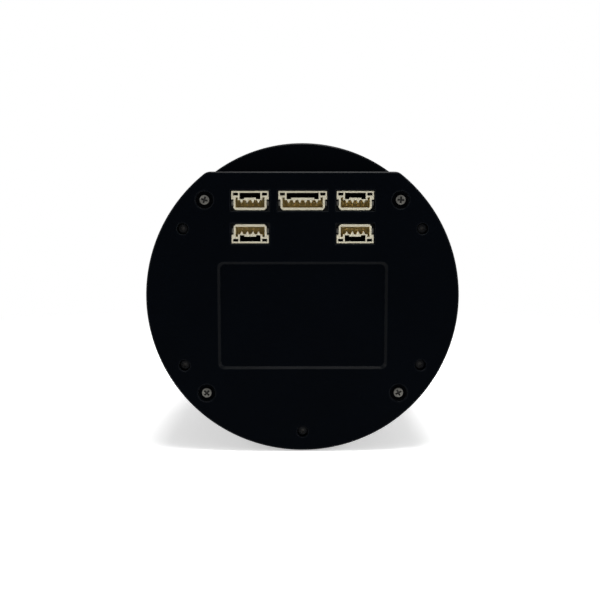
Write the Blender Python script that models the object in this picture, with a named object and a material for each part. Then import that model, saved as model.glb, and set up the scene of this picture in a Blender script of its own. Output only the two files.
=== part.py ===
"""Cooled astronomy camera with a round housing and small wire-to-board headers on its rear cover.

+Z is up. The optical axis is Y: the telescope side faces +Y, and the header side faces -Y.
The origin is on the optical axis, on the front face of the flange that meets the telescope.
"""

import math

import bmesh
import bpy
from mathutils import Matrix, Vector

MM = 0.001
TURN = 2 * math.pi
RIGHT_ANGLE = math.pi / 2

# Clearances
GAP = 0.3 * MM  # between pieces that meet face to face
SCREW_GAP = 0.2 * MM  # round a screw, a stud or a press-fitted piece
CUT_OVER = 1.0 * MM  # how far a cutter runs past the face that it opens
SUNK_IN = 0.5 * MM  # how far a rib or a post reaches into the body that it grows from

# Round sections
BODY_SIDES = 48
BORE_SIDES = 32
SMALL_BORE_SIDES = 16
SCREW_SIDES = 12
SEAL_RING_SIDES = 32
SEAL_SIDES = 6
SMOOTH_ANGLE = math.radians(35)

# Housing
BODY_RADIUS = 35.0 * MM
SCREW_CIRCLE_INSET = 4.28 * MM  # from the outside of the housing to its rear screws

# Rear cover
COVER_DEPTH = 13.0 * MM
COVER_PLATE = 2.0 * MM
COVER_WALL = 1.8 * MM
CHORD_DROP = 7.08 * MM  # from the top of the round housing to the cover's flat top
CHORD_FILLET = 2.5 * MM

# Headers
HEADER_PITCH = 1.25 * MM
HEADER_END = 2.25 * MM  # from the last contact to the end of the housing
HEADER_HEIGHT = 4.22 * MM
HEADER_LENGTH = 3.9 * MM  # from the board to the open face
HEADER_SINK = 0.15 * MM  # below the cover's rear face
HEADER_NECK = 0.47 * MM  # how much narrower each end is beside the contacts
HEADER_NECK_HEIGHT = 2.2 * MM
HEADER_CHAMFER = 0.5 * MM
HEADER_SPACING = 2.15 * MM  # between neighbours in the upper row
HEADER_TOP_MARGIN = 6.35 * MM  # from the cover's flat top to the middle of the upper row
HEADER_ROW_PITCH = 7.32 * MM
HEADER_CLEARANCE = 0.2 * MM
HEADER_WALL = 0.55 * MM
CONTACT_POCKET_HEIGHT = 2.0 * MM
CONTACT_POCKET_DEPTH = 3.0 * MM
LATCH_RAIL = 0.45 * MM
LATCH_POCKET_HEIGHT = 0.9 * MM
LATCH_POCKET_DEPTH = 2.2 * MM
LATCH_END = 1.9 * MM  # from the end of the housing to the latch window
SHORT_WAYS = 4
LONG_WAYS = 6

# Label recess
LABEL_WIDTH = 38.4 * MM
LABEL_HEIGHT = 24.5 * MM
LABEL_CORNER = 1.65 * MM
LABEL_DEPTH = 0.4 * MM
LABEL_DROP = 3.95 * MM  # from the lower headers to the recess

# Screws: shank radius, head radius, head height, socket depth
COVER_SCREW = {"shank": 0.8 * MM, "head": 1.15 * MM, "height": 0.8 * MM, "socket": 0.45 * MM}
BODY_SCREW = {"shank": 0.7 * MM, "head": 1.05 * MM, "height": 0.8 * MM, "socket": 0.45 * MM}
FAN_SCREW = {"shank": 1.4 * MM, "head": 2.4 * MM, "height": 1.4 * MM, "socket": 0.8 * MM}
SENSOR_SCREW = {"shank": 0.8 * MM, "head": 1.5 * MM, "height": 1.0 * MM, "socket": 0.5 * MM}
HOUSING_SCREW = {"shank": 1.2 * MM, "head": 2.2 * MM, "height": 2.0 * MM, "socket": 1.0 * MM}
PLATE_SCREW = {"shank": 1.25 * MM, "head": 2.1 * MM, "height": 1.6 * MM, "socket": 0.8 * MM}
CROSS_LENGTH, CROSS_WIDTH, HEXAGON_SIZE = 1.3, 0.32, 0.5  # sockets, as shares of the head's radius
COVER_SCREW_TURN, COVER_SCREW_TURN_STEP = 20, 37  # degrees; each cross stops at its own angle
HEAD_CLEARANCE = 0.4 * MM  # round a head in its counterbore
COVER_HEAD_CLEARANCE = 0.8 * MM
COVER_HEAD_SINK = 0.1 * MM
BODY_HEAD_SINK = 0.9 * MM
PLATE_HEAD_SINK = 0.4 * MM
BOSS_WALL = 0.7 * MM  # least wall round a cover screw
DEEP_BOSS_RADIUS = 2.7 * MM
BODY_SCREW_ANGLES = (30, 150, 210, 270, 330)
BODY_SCREW_BITE = 3.6 * MM  # thread past the bulkhead's rear face
COVER_SCREW_BITE = 2.4 * MM  # thread in a standoff

# Boards and standoffs
BOARD_THICKNESS = 1.2 * MM
BOARD_INSET = 0.6 * MM  # inside the cover's wall
STANDOFF_FLATS = 3.2 * MM
STUD_RADIUS = 0.7 * MM
BULKHEAD_BOSS_HEIGHT = 2.0 * MM
BULKHEAD_BOSS_RADIUS = 1.9 * MM
PROCESSOR_SIDE = 14.0 * MM
PROCESSOR_HEIGHT = 1.2 * MM
REGULATOR_SIDE = 6.0 * MM
REGULATOR_OFFSET = 14.0 * MM

# Cooling body
COOLING_WALL = 2.0 * MM
BULKHEAD_THICKNESS = 2.0 * MM
BODY_BOSS_RADIUS = 2.5 * MM
BODY_BOSS_HEIGHT = 3.0 * MM
HOUSING_BOSS_RADIUS = 3.0 * MM
HOUSING_BOSS_HEIGHT = 5.0 * MM
HOUSING_SCREW_ANGLES = (0, 120, 240)
HOUSING_COUNTERBORE_FLOOR = 8.0 * MM  # from the front housing's rear face
VENT_COUNT = 24
VENT_WIDTH = 3.2 * MM
VENT_MARGIN = 1.0 * MM  # from a vent to the bosses at its two ends

# Fan
FAN_SIZE = 35.0 * MM
FAN_DEPTH = 10.0 * MM
FAN_CORNER = 3.0 * MM
FAN_WALL = 0.9 * MM  # thinnest wall round the fan's bore
FAN_SCREW_INSET = 3.0 * MM
FAN_INLET_GAP = 3.0 * MM  # from the bulkhead to the fan
FAN_TIP_GAP = 0.5 * MM
SPIDER_RADIUS = 8.0 * MM
SPIDER_THICKNESS = 1.2 * MM
STRUT_WIDTH = 2.0 * MM
STRUT_COUNT = 4
STRUT_SETBACK = 0.2 * MM
SHAFT_RADIUS = 1.0 * MM
SHAFT_RUNNING_GAP = 0.06 * MM
BEARING_WALL = 0.64 * MM
BEARING_TUBE_WALL = 0.7 * MM
BEARING_LENGTH = 5.0 * MM
HUB_RADIUS = 7.8 * MM
HUB_WALL = 1.0 * MM
HUB_FACE = 1.2 * MM
HUB_LENGTH = 7.2 * MM
HUB_SINK = 0.5 * MM  # inside the frame's rear face
HUB_BOSS_RADIUS = 2.2 * MM
HUB_BOSS_HEIGHT = 0.5 * MM
ROTOR_RUNNING_GAP = 0.3 * MM
STATOR_LENGTH = 4.0 * MM
STATOR_POLES = 4
STATOR_SLOT = 1.2 * MM
BLADE_COUNT = 7
BLADE_THICKNESS = 0.8 * MM
BLADE_CHORD = 6.6 * MM
BLADE_ROOT_PITCH = math.radians(44)
BLADE_TIP_PITCH = math.radians(32)

# Heatsink and cooler
HEATSINK_BASE = 4.0 * MM
FIN_HEIGHT = 5.4 * MM
FIN_THICKNESS = 1.1 * MM
FIN_PITCH = 2.9 * MM
FIN_MARGIN = 0.8 * MM  # from the outermost fin to the side of the fan
FAN_POST_RADIUS = 2.5 * MM
FAN_SCREW_END = 1.0 * MM  # from a fan screw's end to the heatsink's base
TEC_SIDE = 15.0 * MM
TEC_THICKNESS = 3.4 * MM
TEC_PLATE = 0.8 * MM
TEC_PELLETS = 4
TEC_PELLET_SIDE = 1.6 * MM
CHAMBER_BASE_THICKNESS = 3.0 * MM
FINGER_SIDE = 18.0 * MM
FINGER_BASE = 2.0 * MM
FINGER_PAD_SIDE = 12.0 * MM
FINGER_CLEARANCE = 0.5 * MM

# Sensor
BACK_FOCUS = 17.5 * MM  # from the flange to the sensor's surface
SENSOR_RECESS = 0.5 * MM
PACKAGE_THICKNESS = 2.0 * MM
PACKAGE_WIDTH = 22.0 * MM
PACKAGE_HEIGHT = 17.0 * MM
PACKAGE_RIM = 1.6 * MM
COVER_GLASS_THICKNESS = 0.5 * MM
COVER_GLASS_INSET = 0.5 * MM
SENSOR_BOARD_RADIUS = 19.0 * MM
SENSOR_SCREW_CIRCLE = 16.2 * MM
SENSOR_SCREW_ANGLES = (90, 210, 330)
SENSOR_POST_RADIUS = 1.9 * MM

# Front housing and window
CHAMBER_MARGIN = 1.8 * MM  # from the middle of the wiring to the chamber's wall
CHAMBER_STEP = 2.3 * MM  # the shoulder that the chamber's seal lies on
SEAL_THICKNESS = 1.0 * MM
SEAL_SEAT = 0.2 * MM  # from a seal to each face that it lies against
APERTURE_RADIUS = 14.0 * MM
WEB_THICKNESS = 1.2 * MM
WINDOW_RADIUS = 18.9 * MM
WINDOW_THICKNESS = 1.6 * MM
WINDOW_SEAL_INSET = 2.2 * MM
RING_THICKNESS = 1.6 * MM
RING_WIDTH = 3.2 * MM
RING_RECESS = 0.5 * MM
RING_SLOT_WIDTH = 1.6 * MM
RING_SLOT_DEPTH = 0.8 * MM
PLUG_RADIUS = 3.2 * MM
PLUG_HEAD_RADIUS = 5.5 * MM
PLUG_HEAD_HEIGHT = 1.8 * MM
PLUG_SINK = 0.6 * MM
PLUG_SLOT_WIDTH = 1.4 * MM
PLUG_SLOT_DEPTH = 0.9 * MM

# Front plate
PLATE_THICKNESS = 4.7 * MM
THREAD_RADIUS = 20.8 * MM  # root of the M42 female thread
PLATE_SCREW_INSET = 5.5 * MM
PLATE_SCREW_ANGLES = (45, 135, 225, 315)
PLATE_SCREW_BITE = 5.0 * MM

# Internal wiring
RIBBON_WIDTH = 8.0 * MM
RIBBON_THICKNESS = 0.3 * MM
RIBBON_TAIL = 4.0 * MM  # under the main board
RIBBON_LAP = 3.3 * MM  # under the sensor board's edge
WIRE_RADIUS = 0.55 * MM
WIRE_BEND = 1.6 * MM
WIRE_CLEARANCE = 2.2 * MM  # from the side of the fan to the middle of a wire
WIRE_HOLE_GAP = 0.35 * MM
TEC_WIRE_SPREAD = 2.5 * MM  # from the axis to each of the cooler's two wires
FAN_WIRE_OFFSET = 9.0 * MM
FAN_WIRE_EXIT = 3.33 * MM  # from the fan's rear face
BEND_STEPS = 6

# Stations along the optical axis, worked back from the flange
HOUSING_FRONT = -PLATE_THICKNESS - GAP
PACKAGE_FRONT = -BACK_FOCUS + SENSOR_RECESS
PACKAGE_REAR = PACKAGE_FRONT - PACKAGE_THICKNESS
SENSOR_BOARD_FRONT = PACKAGE_REAR - GAP
SENSOR_BOARD_REAR = SENSOR_BOARD_FRONT - BOARD_THICKNESS
FINGER_REAR = SENSOR_BOARD_REAR - FINGER_CLEARANCE - FINGER_BASE
TEC_FRONT = FINGER_REAR - GAP
HOUSING_REAR = TEC_FRONT - TEC_THICKNESS
CHAMBER_BASE_FRONT = HOUSING_REAR + CHAMBER_BASE_THICKNESS
COOLING_FRONT = HOUSING_REAR - GAP
HEATSINK_BASE_REAR = COOLING_FRONT - HEATSINK_BASE
FIN_TIPS = HEATSINK_BASE_REAR - FIN_HEIGHT
FAN_FRONT = FIN_TIPS - GAP
FAN_REAR = FAN_FRONT - FAN_DEPTH
BULKHEAD_FRONT = FAN_REAR - FAN_INLET_GAP
COOLING_REAR = BULKHEAD_FRONT - BULKHEAD_THICKNESS
COVER_FRONT = COOLING_REAR - GAP
COVER_REAR = COVER_FRONT - COVER_DEPTH
MAIN_BOARD_FRONT = COOLING_REAR - BULKHEAD_BOSS_HEIGHT - GAP
MAIN_BOARD_REAR = MAIN_BOARD_FRONT - BOARD_THICKNESS
HEADER_REAR = COVER_REAR + HEADER_SINK
IO_BOARD_REAR = HEADER_REAR + HEADER_LENGTH + GAP
IO_BOARD_FRONT = IO_BOARD_REAR + BOARD_THICKNESS
STANDOFF_REAR = IO_BOARD_FRONT + GAP
STANDOFF_FRONT = MAIN_BOARD_REAR - GAP

# Places across the optical axis
CHORD_HEIGHT = BODY_RADIUS - CHORD_DROP
SCREW_CIRCLE = BODY_RADIUS - SCREW_CIRCLE_INSET
COVER_SCREW_ANGLES = (135, 45, 225, 315)
WIRE_PLACE = FAN_SIZE / 2 + WIRE_CLEARANCE
CHAMBER_RADIUS = WIRE_PLACE + CHAMBER_MARGIN
UPPER_ROW = CHORD_HEIGHT - HEADER_TOP_MARGIN
LOWER_ROW = UPPER_ROW - HEADER_ROW_PITCH
LABEL_TOP = LOWER_ROW - HEADER_HEIGHT / 2 - LABEL_DROP

# Finishes: colour, metallic, roughness
FINISHES = {
    "black_anodised": ((0.004, 0.005, 0.007), 0.3, 0.55),
    "cream_nylon": ((0.69, 0.65, 0.48), 0.0, 0.5),
    "steel": ((0.45, 0.44, 0.42), 1.0, 0.35),
    "black_steel": ((0.02, 0.02, 0.022), 0.8, 0.45),
    "board_green": ((0.02, 0.09, 0.04), 0.0, 0.5),
    "brass": ((0.6, 0.42, 0.16), 1.0, 0.35),
    "fan_plastic": ((0.015, 0.015, 0.016), 0.0, 0.5),
    "copper": ((0.7, 0.32, 0.18), 1.0, 0.4),
    "bare_aluminium": ((0.62, 0.63, 0.64), 1.0, 0.4),
    "white_ceramic": ((0.8, 0.8, 0.78), 0.0, 0.5),
    "sensor_ceramic": ((0.05, 0.04, 0.05), 0.0, 0.3),
    "glass": ((0.75, 0.85, 0.85), 0.0, 0.05),
    "black_rubber": ((0.01, 0.01, 0.01), 0.0, 0.7),
    "amber_film": ((0.45, 0.2, 0.03), 0.0, 0.4),
    "red_wire": ((0.5, 0.02, 0.02), 0.0, 0.5),
    "black_wire": ((0.01, 0.01, 0.01), 0.0, 0.5),
}


def clear_scene():
    for old in list(bpy.data.objects):
        bpy.data.objects.remove(old, do_unlink=True)


def polar(radius, degrees):
    """The (x, z) point at this radius, counted anticlockwise from +X as seen looking along -Y."""
    angle = math.radians(degrees)
    return radius * math.cos(angle), radius * math.sin(angle)


def arc(centre, radius, start, end, steps):
    """Points (x, z) on an arc, both ends included; start and end are in radians."""
    x, z = centre
    turns = [start + (end - start) * i / steps for i in range(steps + 1)]
    return [(x + radius * math.cos(t), z + radius * math.sin(t)) for t in turns]


def circle(centre, radius, sides):
    return arc(centre, radius, 0, TURN, sides)[:-1]


def rectangle(centre, width, height):
    x, z = centre
    w, h = width / 2, height / 2
    return [(x - w, z - h), (x + w, z - h), (x + w, z + h), (x - w, z + h)]


def rounded_rectangle(centre, width, height, radius, steps=5):
    x, z = centre
    w, h = width / 2 - radius, height / 2 - radius
    corners = ((w, h), (-w, h), (-w, -h), (w, -h))
    points = []
    for quarter, (dx, dz) in enumerate(corners):
        start = quarter * RIGHT_ANGLE
        points += arc((x + dx, z + dz), radius, start, start + RIGHT_ANGLE, steps)
    return points


def turned_outline(outline, share):
    """The outline turned about the optical axis by this share of a full turn."""
    turned = Matrix.Rotation(TURN * share, 2)
    return [tuple(turned @ Vector(point)) for point in outline]


def cover_outline(inset):
    """The cover's outline, a circle with a flat top and rounded corners, moved inwards by inset."""
    radius = BODY_RADIUS - inset
    chord = CHORD_HEIGHT - inset
    fillet = max(CHORD_FILLET - inset, GAP)
    height = chord - fillet
    across = math.sqrt((radius - fillet) ** 2 - height**2)
    corner = math.atan2(height, across)
    points = arc((0, 0), radius, math.pi - corner, TURN + corner, BODY_SIDES)
    points += arc((across, height), fillet, corner, RIGHT_ANGLE, BEND_STEPS)[1:]
    points += arc((-across, height), fillet, RIGHT_ANGLE, math.pi - corner, BEND_STEPS)[:-1]
    return points


def add_prism(bm, outline, rear, front):
    """Adds the solid that an (x, z) outline sweeps from rear to front along Y."""
    base = bm.faces.new([bm.verts.new((x, rear, z)) for x, z in outline])
    swept = bmesh.ops.extrude_face_region(bm, geom=[base])["geom"]
    ends = [item for item in swept if isinstance(item, bmesh.types.BMVert)]
    bmesh.ops.translate(bm, verts=ends, vec=(0, front - rear, 0))


def add_turned(bm, profile, sides, ring=True):
    """Spins (radius, y) points about Y. A ring's profile is a loop, any other starts and ends on Y."""
    corners = [bm.verts.new((r, y, 0)) for r, y in profile]
    pairs = list(zip(corners, corners[1:], strict=False))
    if ring:
        pairs.append((corners[-1], corners[0]))
    edges = [bm.edges.new(pair) for pair in pairs]
    bmesh.ops.spin(
        bm,
        geom=corners + edges,
        cent=(0, 0, 0),
        axis=(0, 1, 0),
        angle=TURN,
        steps=sides,
        use_merge=True,
    )


def add_tube(bm, inner, outer, length, sides):
    """A plain tube about Y, from y = 0 to its length."""
    add_turned(bm, [(inner, 0), (outer, 0), (outer, length), (inner, length)], sides)


def add_seal(bm, radius):
    """An O-ring about Y, in the plane y = 0."""
    profile = arc((radius, 0), SEAL_THICKNESS / 2, 0, TURN, SEAL_SIDES)[:-1]
    add_turned(bm, profile, SEAL_RING_SIDES)


def mesh_of(name, bm):
    bmesh.ops.remove_doubles(bm, verts=bm.verts, dist=0.001 * MM)
    bmesh.ops.recalc_face_normals(bm, faces=bm.faces)
    mesh = bpy.data.meshes.new(name)
    bm.to_mesh(mesh)
    bm.free()
    return mesh


def smooth(mesh):
    mesh.shade_smooth()
    mesh.set_sharp_from_angle(angle=SMOOTH_ANGLE)


def material(name, finish):
    colour, metallic, roughness = FINISHES[finish]
    made = bpy.data.materials.new(name)
    made.use_nodes = True
    shader = made.node_tree.nodes["Principled BSDF"]
    shader.inputs["Base Color"].default_value = (*colour, 1)
    shader.inputs["Metallic"].default_value = metallic
    shader.inputs["Roughness"].default_value = roughness
    return made


def piece(name, shape, finish, rear=0.0, parent=None, at=(0, 0)):
    """A named sub-part. shape is a bmesh or a mesh, and rear is where its own y = 0 lies on the axis."""
    mesh = mesh_of(name, shape) if isinstance(shape, bmesh.types.BMesh) else shape
    smooth(mesh)
    made = bpy.data.objects.new(name, mesh)
    bpy.context.scene.collection.objects.link(made)
    made.location = (at[0], rear, at[1])
    made.parent = parent
    if not mesh.materials:
        mesh.materials.append(None)
    made.material_slots[0].link = "OBJECT"
    made.material_slots[0].material = material(name, finish)
    return made


def tool(name, bm, owner):
    """A helper solid in its owner's coordinates, which no render and no build shows."""
    made = bpy.data.objects.new(name, mesh_of(name, bm))
    bpy.context.scene.collection.objects.link(made)
    made.parent = owner
    made.hide_render = True
    made.display_type = "WIRE"
    return made


def boolean(owner, helper, operation):
    change = owner.modifiers.new(f"{operation.lower()}_{helper.name}", "BOOLEAN")
    change.operation = operation
    change.solver = "EXACT"
    change.object = helper


def cut_prisms(owner, name, outlines, rear, front):
    """Cuts every outline out of owner, between two of its own y values."""
    bm = bmesh.new()
    for outline in outlines:
        add_prism(bm, outline, rear, front)
    boolean(owner, tool(f"{owner.name}_{name}", bm, owner), "DIFFERENCE")


def add_prisms(owner, name, outlines, rear, front):
    """Joins every swept outline to owner, between two of its own y values."""
    bm = bmesh.new()
    for outline in outlines:
        add_prism(bm, outline, rear, front)
    boolean(owner, tool(f"{owner.name}_{name}", bm, owner), "UNION")


def circles(places, radius, sides=SCREW_SIDES):
    return [circle(place, radius, sides) for place in places]


def ring_places(radius, angles):
    return [polar(radius, angle) for angle in angles]


def evaluated_mesh(made, name):
    """The mesh that an object's modifiers give, for copies to share. The object goes."""
    graph = bpy.context.evaluated_depsgraph_get()
    mesh = bpy.data.meshes.new_from_object(made.evaluated_get(graph))
    mesh.name = name
    children = list(made.children)
    for old in [*children, made]:
        bpy.data.objects.remove(old, do_unlink=True)
    return mesh


def screw_mesh(name, size, length, socket="cross"):
    """A screw that points along +Y, with y = 0 under its head."""
    bm = bmesh.new()
    profile = [
        (0, -size["height"]),
        (size["head"], -size["height"]),
        (size["head"], 0),
        (size["shank"], 0),
        (size["shank"], length),
        (0, length),
    ]
    add_turned(bm, profile, SCREW_SIDES, ring=False)
    made = piece(name, bm, "steel")
    top, floor = -size["height"] - CUT_OVER, -size["height"] + size["socket"]
    if socket == "cross":
        long_side, short_side = size["head"] * CROSS_LENGTH, size["head"] * CROSS_WIDTH
        cut_prisms(made, "slot_1", [rectangle((0, 0), long_side, short_side)], top, floor)
        cut_prisms(made, "slot_2", [rectangle((0, 0), short_side, long_side)], top, floor)
    else:
        cut_prisms(made, "hexagon", [circle((0, 0), size["head"] * HEXAGON_SIZE, 6)], top, floor)
    return evaluated_mesh(made, name)


def screws(name, mesh, places, seat, finish, parent, turned=False):
    """Numbered copies of a screw at (x, z) places. turned ones point along -Y."""
    made = []
    for number, place in enumerate(places, 1):
        copy = piece(f"{name}_{number}", mesh, finish, seat, parent, place)
        if turned:
            copy.rotation_euler = (math.pi, 0, 0)
        made.append(copy)
    return made


def cover_places():
    return ring_places(SCREW_CIRCLE, COVER_SCREW_ANGLES)


def body_places():
    return ring_places(SCREW_CIRCLE, BODY_SCREW_ANGLES)


def housing_places():
    return ring_places(SCREW_CIRCLE, HOUSING_SCREW_ANGLES)


def header_width(ways):
    return (ways - 1) * HEADER_PITCH + 2 * HEADER_END


def header_layout():
    """Name, ways, (x, z) and whether the latch side is on top, for each header."""
    outer = header_width(LONG_WAYS) / 2 + HEADER_SPACING + header_width(SHORT_WAYS) / 2
    return (
        ("header_upper_left", SHORT_WAYS, (-outer, UPPER_ROW), True),
        ("header_upper_middle", LONG_WAYS, (0, UPPER_ROW), True),
        ("header_upper_right", SHORT_WAYS, (outer, UPPER_ROW), True),
        ("header_lower_left", SHORT_WAYS, (-outer, LOWER_ROW), False),
        ("header_lower_right", SHORT_WAYS, (outer, LOWER_ROW), False),
    )


def build_rear_cover(parent):
    bm = bmesh.new()
    add_prism(bm, cover_outline(0), 0, COVER_DEPTH)
    cover = piece("rear_cover", bm, "black_anodised", COVER_REAR, parent)

    bm = bmesh.new()
    add_prism(bm, cover_outline(COVER_WALL), COVER_PLATE, COVER_DEPTH + CUT_OVER)
    cavity = tool("rear_cover_cavity", bm, cover)
    deep = circles(body_places(), DEEP_BOSS_RADIUS, SMALL_BORE_SIDES)
    cut_prisms(cavity, "deep_bosses", deep, COVER_PLATE - CUT_OVER, COVER_DEPTH + 2 * CUT_OVER)
    short = circles(cover_places(), COVER_SCREW["shank"] + SCREW_GAP + BOSS_WALL)
    boss_top = IO_BOARD_REAR - GAP - COVER_REAR
    cut_prisms(cavity, "screw_bosses", short, COVER_PLATE - CUT_OVER, boss_top)
    boolean(cover, cavity, "DIFFERENCE")

    windows = [
        rectangle(place, header_width(ways) + 2 * HEADER_CLEARANCE, HEADER_HEIGHT + 2 * HEADER_CLEARANCE)
        for _, ways, place, _ in header_layout()
    ]
    cut_prisms(cover, "header_windows", windows, -CUT_OVER, COVER_PLATE + CUT_OVER)
    label = rounded_rectangle(
        (0, LABEL_TOP - LABEL_HEIGHT / 2), LABEL_WIDTH, LABEL_HEIGHT, LABEL_CORNER
    )
    cut_prisms(cover, "label_recess", [label], -CUT_OVER, LABEL_DEPTH)
    wells = circles(cover_places(), COVER_SCREW["head"] + COVER_HEAD_CLEARANCE, SMALL_BORE_SIDES)
    well_floor = COVER_HEAD_SINK + COVER_SCREW["height"] + SCREW_GAP
    cut_prisms(cover, "counterbores", wells, -CUT_OVER, well_floor)
    holes = circles(cover_places(), COVER_SCREW["shank"] + SCREW_GAP)
    cut_prisms(cover, "screw_holes", holes, 0, COVER_DEPTH)
    wells = circles(body_places(), BODY_SCREW["head"] + SCREW_GAP)
    well_floor = BODY_HEAD_SINK + BODY_SCREW["height"] + SCREW_GAP
    cut_prisms(cover, "sunk_wells", wells, -CUT_OVER, well_floor)
    holes = circles(body_places(), BODY_SCREW["shank"] + SCREW_GAP)
    cut_prisms(cover, "sunk_holes", holes, 0, COVER_DEPTH + CUT_OVER)


def header_outline(ways):
    """Wide beside the latch and narrower round the contacts, with its latch side towards +Z."""
    half, top = header_width(ways) / 2, HEADER_HEIGHT / 2
    neck, waist = half - HEADER_NECK, HEADER_NECK_HEIGHT - HEADER_HEIGHT / 2
    cut = HEADER_CHAMFER
    return [
        (-neck + cut, -top),
        (neck - cut, -top),
        (neck, -top + cut),
        (neck, waist),
        (half, waist),
        (half, top),
        (-half, top),
        (-half, waist),
        (-neck, waist),
        (-neck, -top + cut),
    ]


def build_header(name, ways, place, latch_up, parent):
    bm = bmesh.new()
    add_prism(bm, header_outline(ways), 0, HEADER_LENGTH)
    header = piece(name, bm, "cream_nylon", HEADER_REAR, parent, place)
    width, top = header_width(ways), HEADER_HEIGHT / 2
    pocket_width = width - 2 * (HEADER_NECK + HEADER_WALL)
    pocket_middle = -top + HEADER_WALL + CONTACT_POCKET_HEIGHT / 2
    contacts = rectangle((0, pocket_middle), pocket_width, CONTACT_POCKET_HEIGHT)
    cut_prisms(header, "contacts", [contacts], -CUT_OVER, CONTACT_POCKET_DEPTH)
    latch_middle = top - LATCH_RAIL - LATCH_POCKET_HEIGHT / 2
    latch = rectangle((0, latch_middle), width - 2 * LATCH_END, LATCH_POCKET_HEIGHT)
    cut_prisms(header, "latch", [latch], -CUT_OVER, LATCH_POCKET_DEPTH)
    if not latch_up:
        header.rotation_euler = (0, math.pi, 0)


def board_outline():
    return cover_outline(COVER_WALL + BOARD_INSET)


def build_board(name, rear, hole_radius, parent):
    """A board with the cover's outline, notched round the deep bosses."""
    bm = bmesh.new()
    add_prism(bm, board_outline(), 0, BOARD_THICKNESS)
    board = piece(name, bm, "board_green", rear, parent)
    ends = (-CUT_OVER, BOARD_THICKNESS + CUT_OVER)
    notches = circles(body_places(), DEEP_BOSS_RADIUS + GAP, SMALL_BORE_SIDES)
    cut_prisms(board, "boss_notches", notches, *ends)
    cut_prisms(board, "screw_holes", circles(cover_places(), hole_radius), *ends)
    return board


def build_boards(parent):
    build_board("io_board", IO_BOARD_REAR, COVER_SCREW["shank"] + SCREW_GAP, parent)
    main = build_board("main_board", MAIN_BOARD_REAR, STUD_RADIUS + SCREW_GAP, parent)
    chips = [
        rectangle((0, 0), PROCESSOR_SIDE, PROCESSOR_SIDE),
        rectangle((REGULATOR_OFFSET, 0), REGULATOR_SIDE, REGULATOR_SIDE),
        rectangle((-REGULATOR_OFFSET, 0), REGULATOR_SIDE, REGULATOR_SIDE),
    ]
    add_prisms(main, "chips", chips, -PROCESSOR_HEIGHT, SUNK_IN)


def build_standoffs(parent):
    length = STANDOFF_FRONT - STANDOFF_REAR
    stud = BULKHEAD_BOSS_HEIGHT + BOARD_THICKNESS + 2 * GAP + BULKHEAD_THICKNESS / 2
    corner = STANDOFF_FLATS / 2 / math.cos(TURN / 12)
    bm = bmesh.new()
    add_prism(bm, circle((0, 0), corner, 6), 0, length)
    made = piece("standoff", bm, "brass")
    add_prisms(made, "stud", circles([(0, 0)], STUD_RADIUS), length - SUNK_IN, length + stud)
    bore = circles([(0, 0)], COVER_SCREW["shank"] + SCREW_GAP)
    cut_prisms(made, "bore", bore, -CUT_OVER, COVER_SCREW_BITE + SCREW_GAP)
    mesh = evaluated_mesh(made, "board_standoff")
    for number, place in enumerate(cover_places(), 1):
        piece(f"board_standoff_{number}", mesh, "brass", STANDOFF_REAR, parent, place)


def build_rear_screws(parent):
    seat = COVER_REAR + COVER_HEAD_SINK + COVER_SCREW["height"]
    length = STANDOFF_REAR + COVER_SCREW_BITE - seat
    mesh = screw_mesh("cover_screw", COVER_SCREW, length)
    made = screws("cover_screw", mesh, cover_places(), seat, "steel", parent)
    for number, screw in enumerate(made):
        screw.rotation_euler = (0, math.radians(COVER_SCREW_TURN + COVER_SCREW_TURN_STEP * number), 0)
    seat = COVER_REAR + BODY_HEAD_SINK + BODY_SCREW["height"]
    length = COOLING_REAR + BODY_SCREW_BITE - seat
    mesh = screw_mesh("body_screw", BODY_SCREW, length, "hexagon")
    screws("body_screw", mesh, body_places(), seat, "black_steel", parent)


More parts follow.
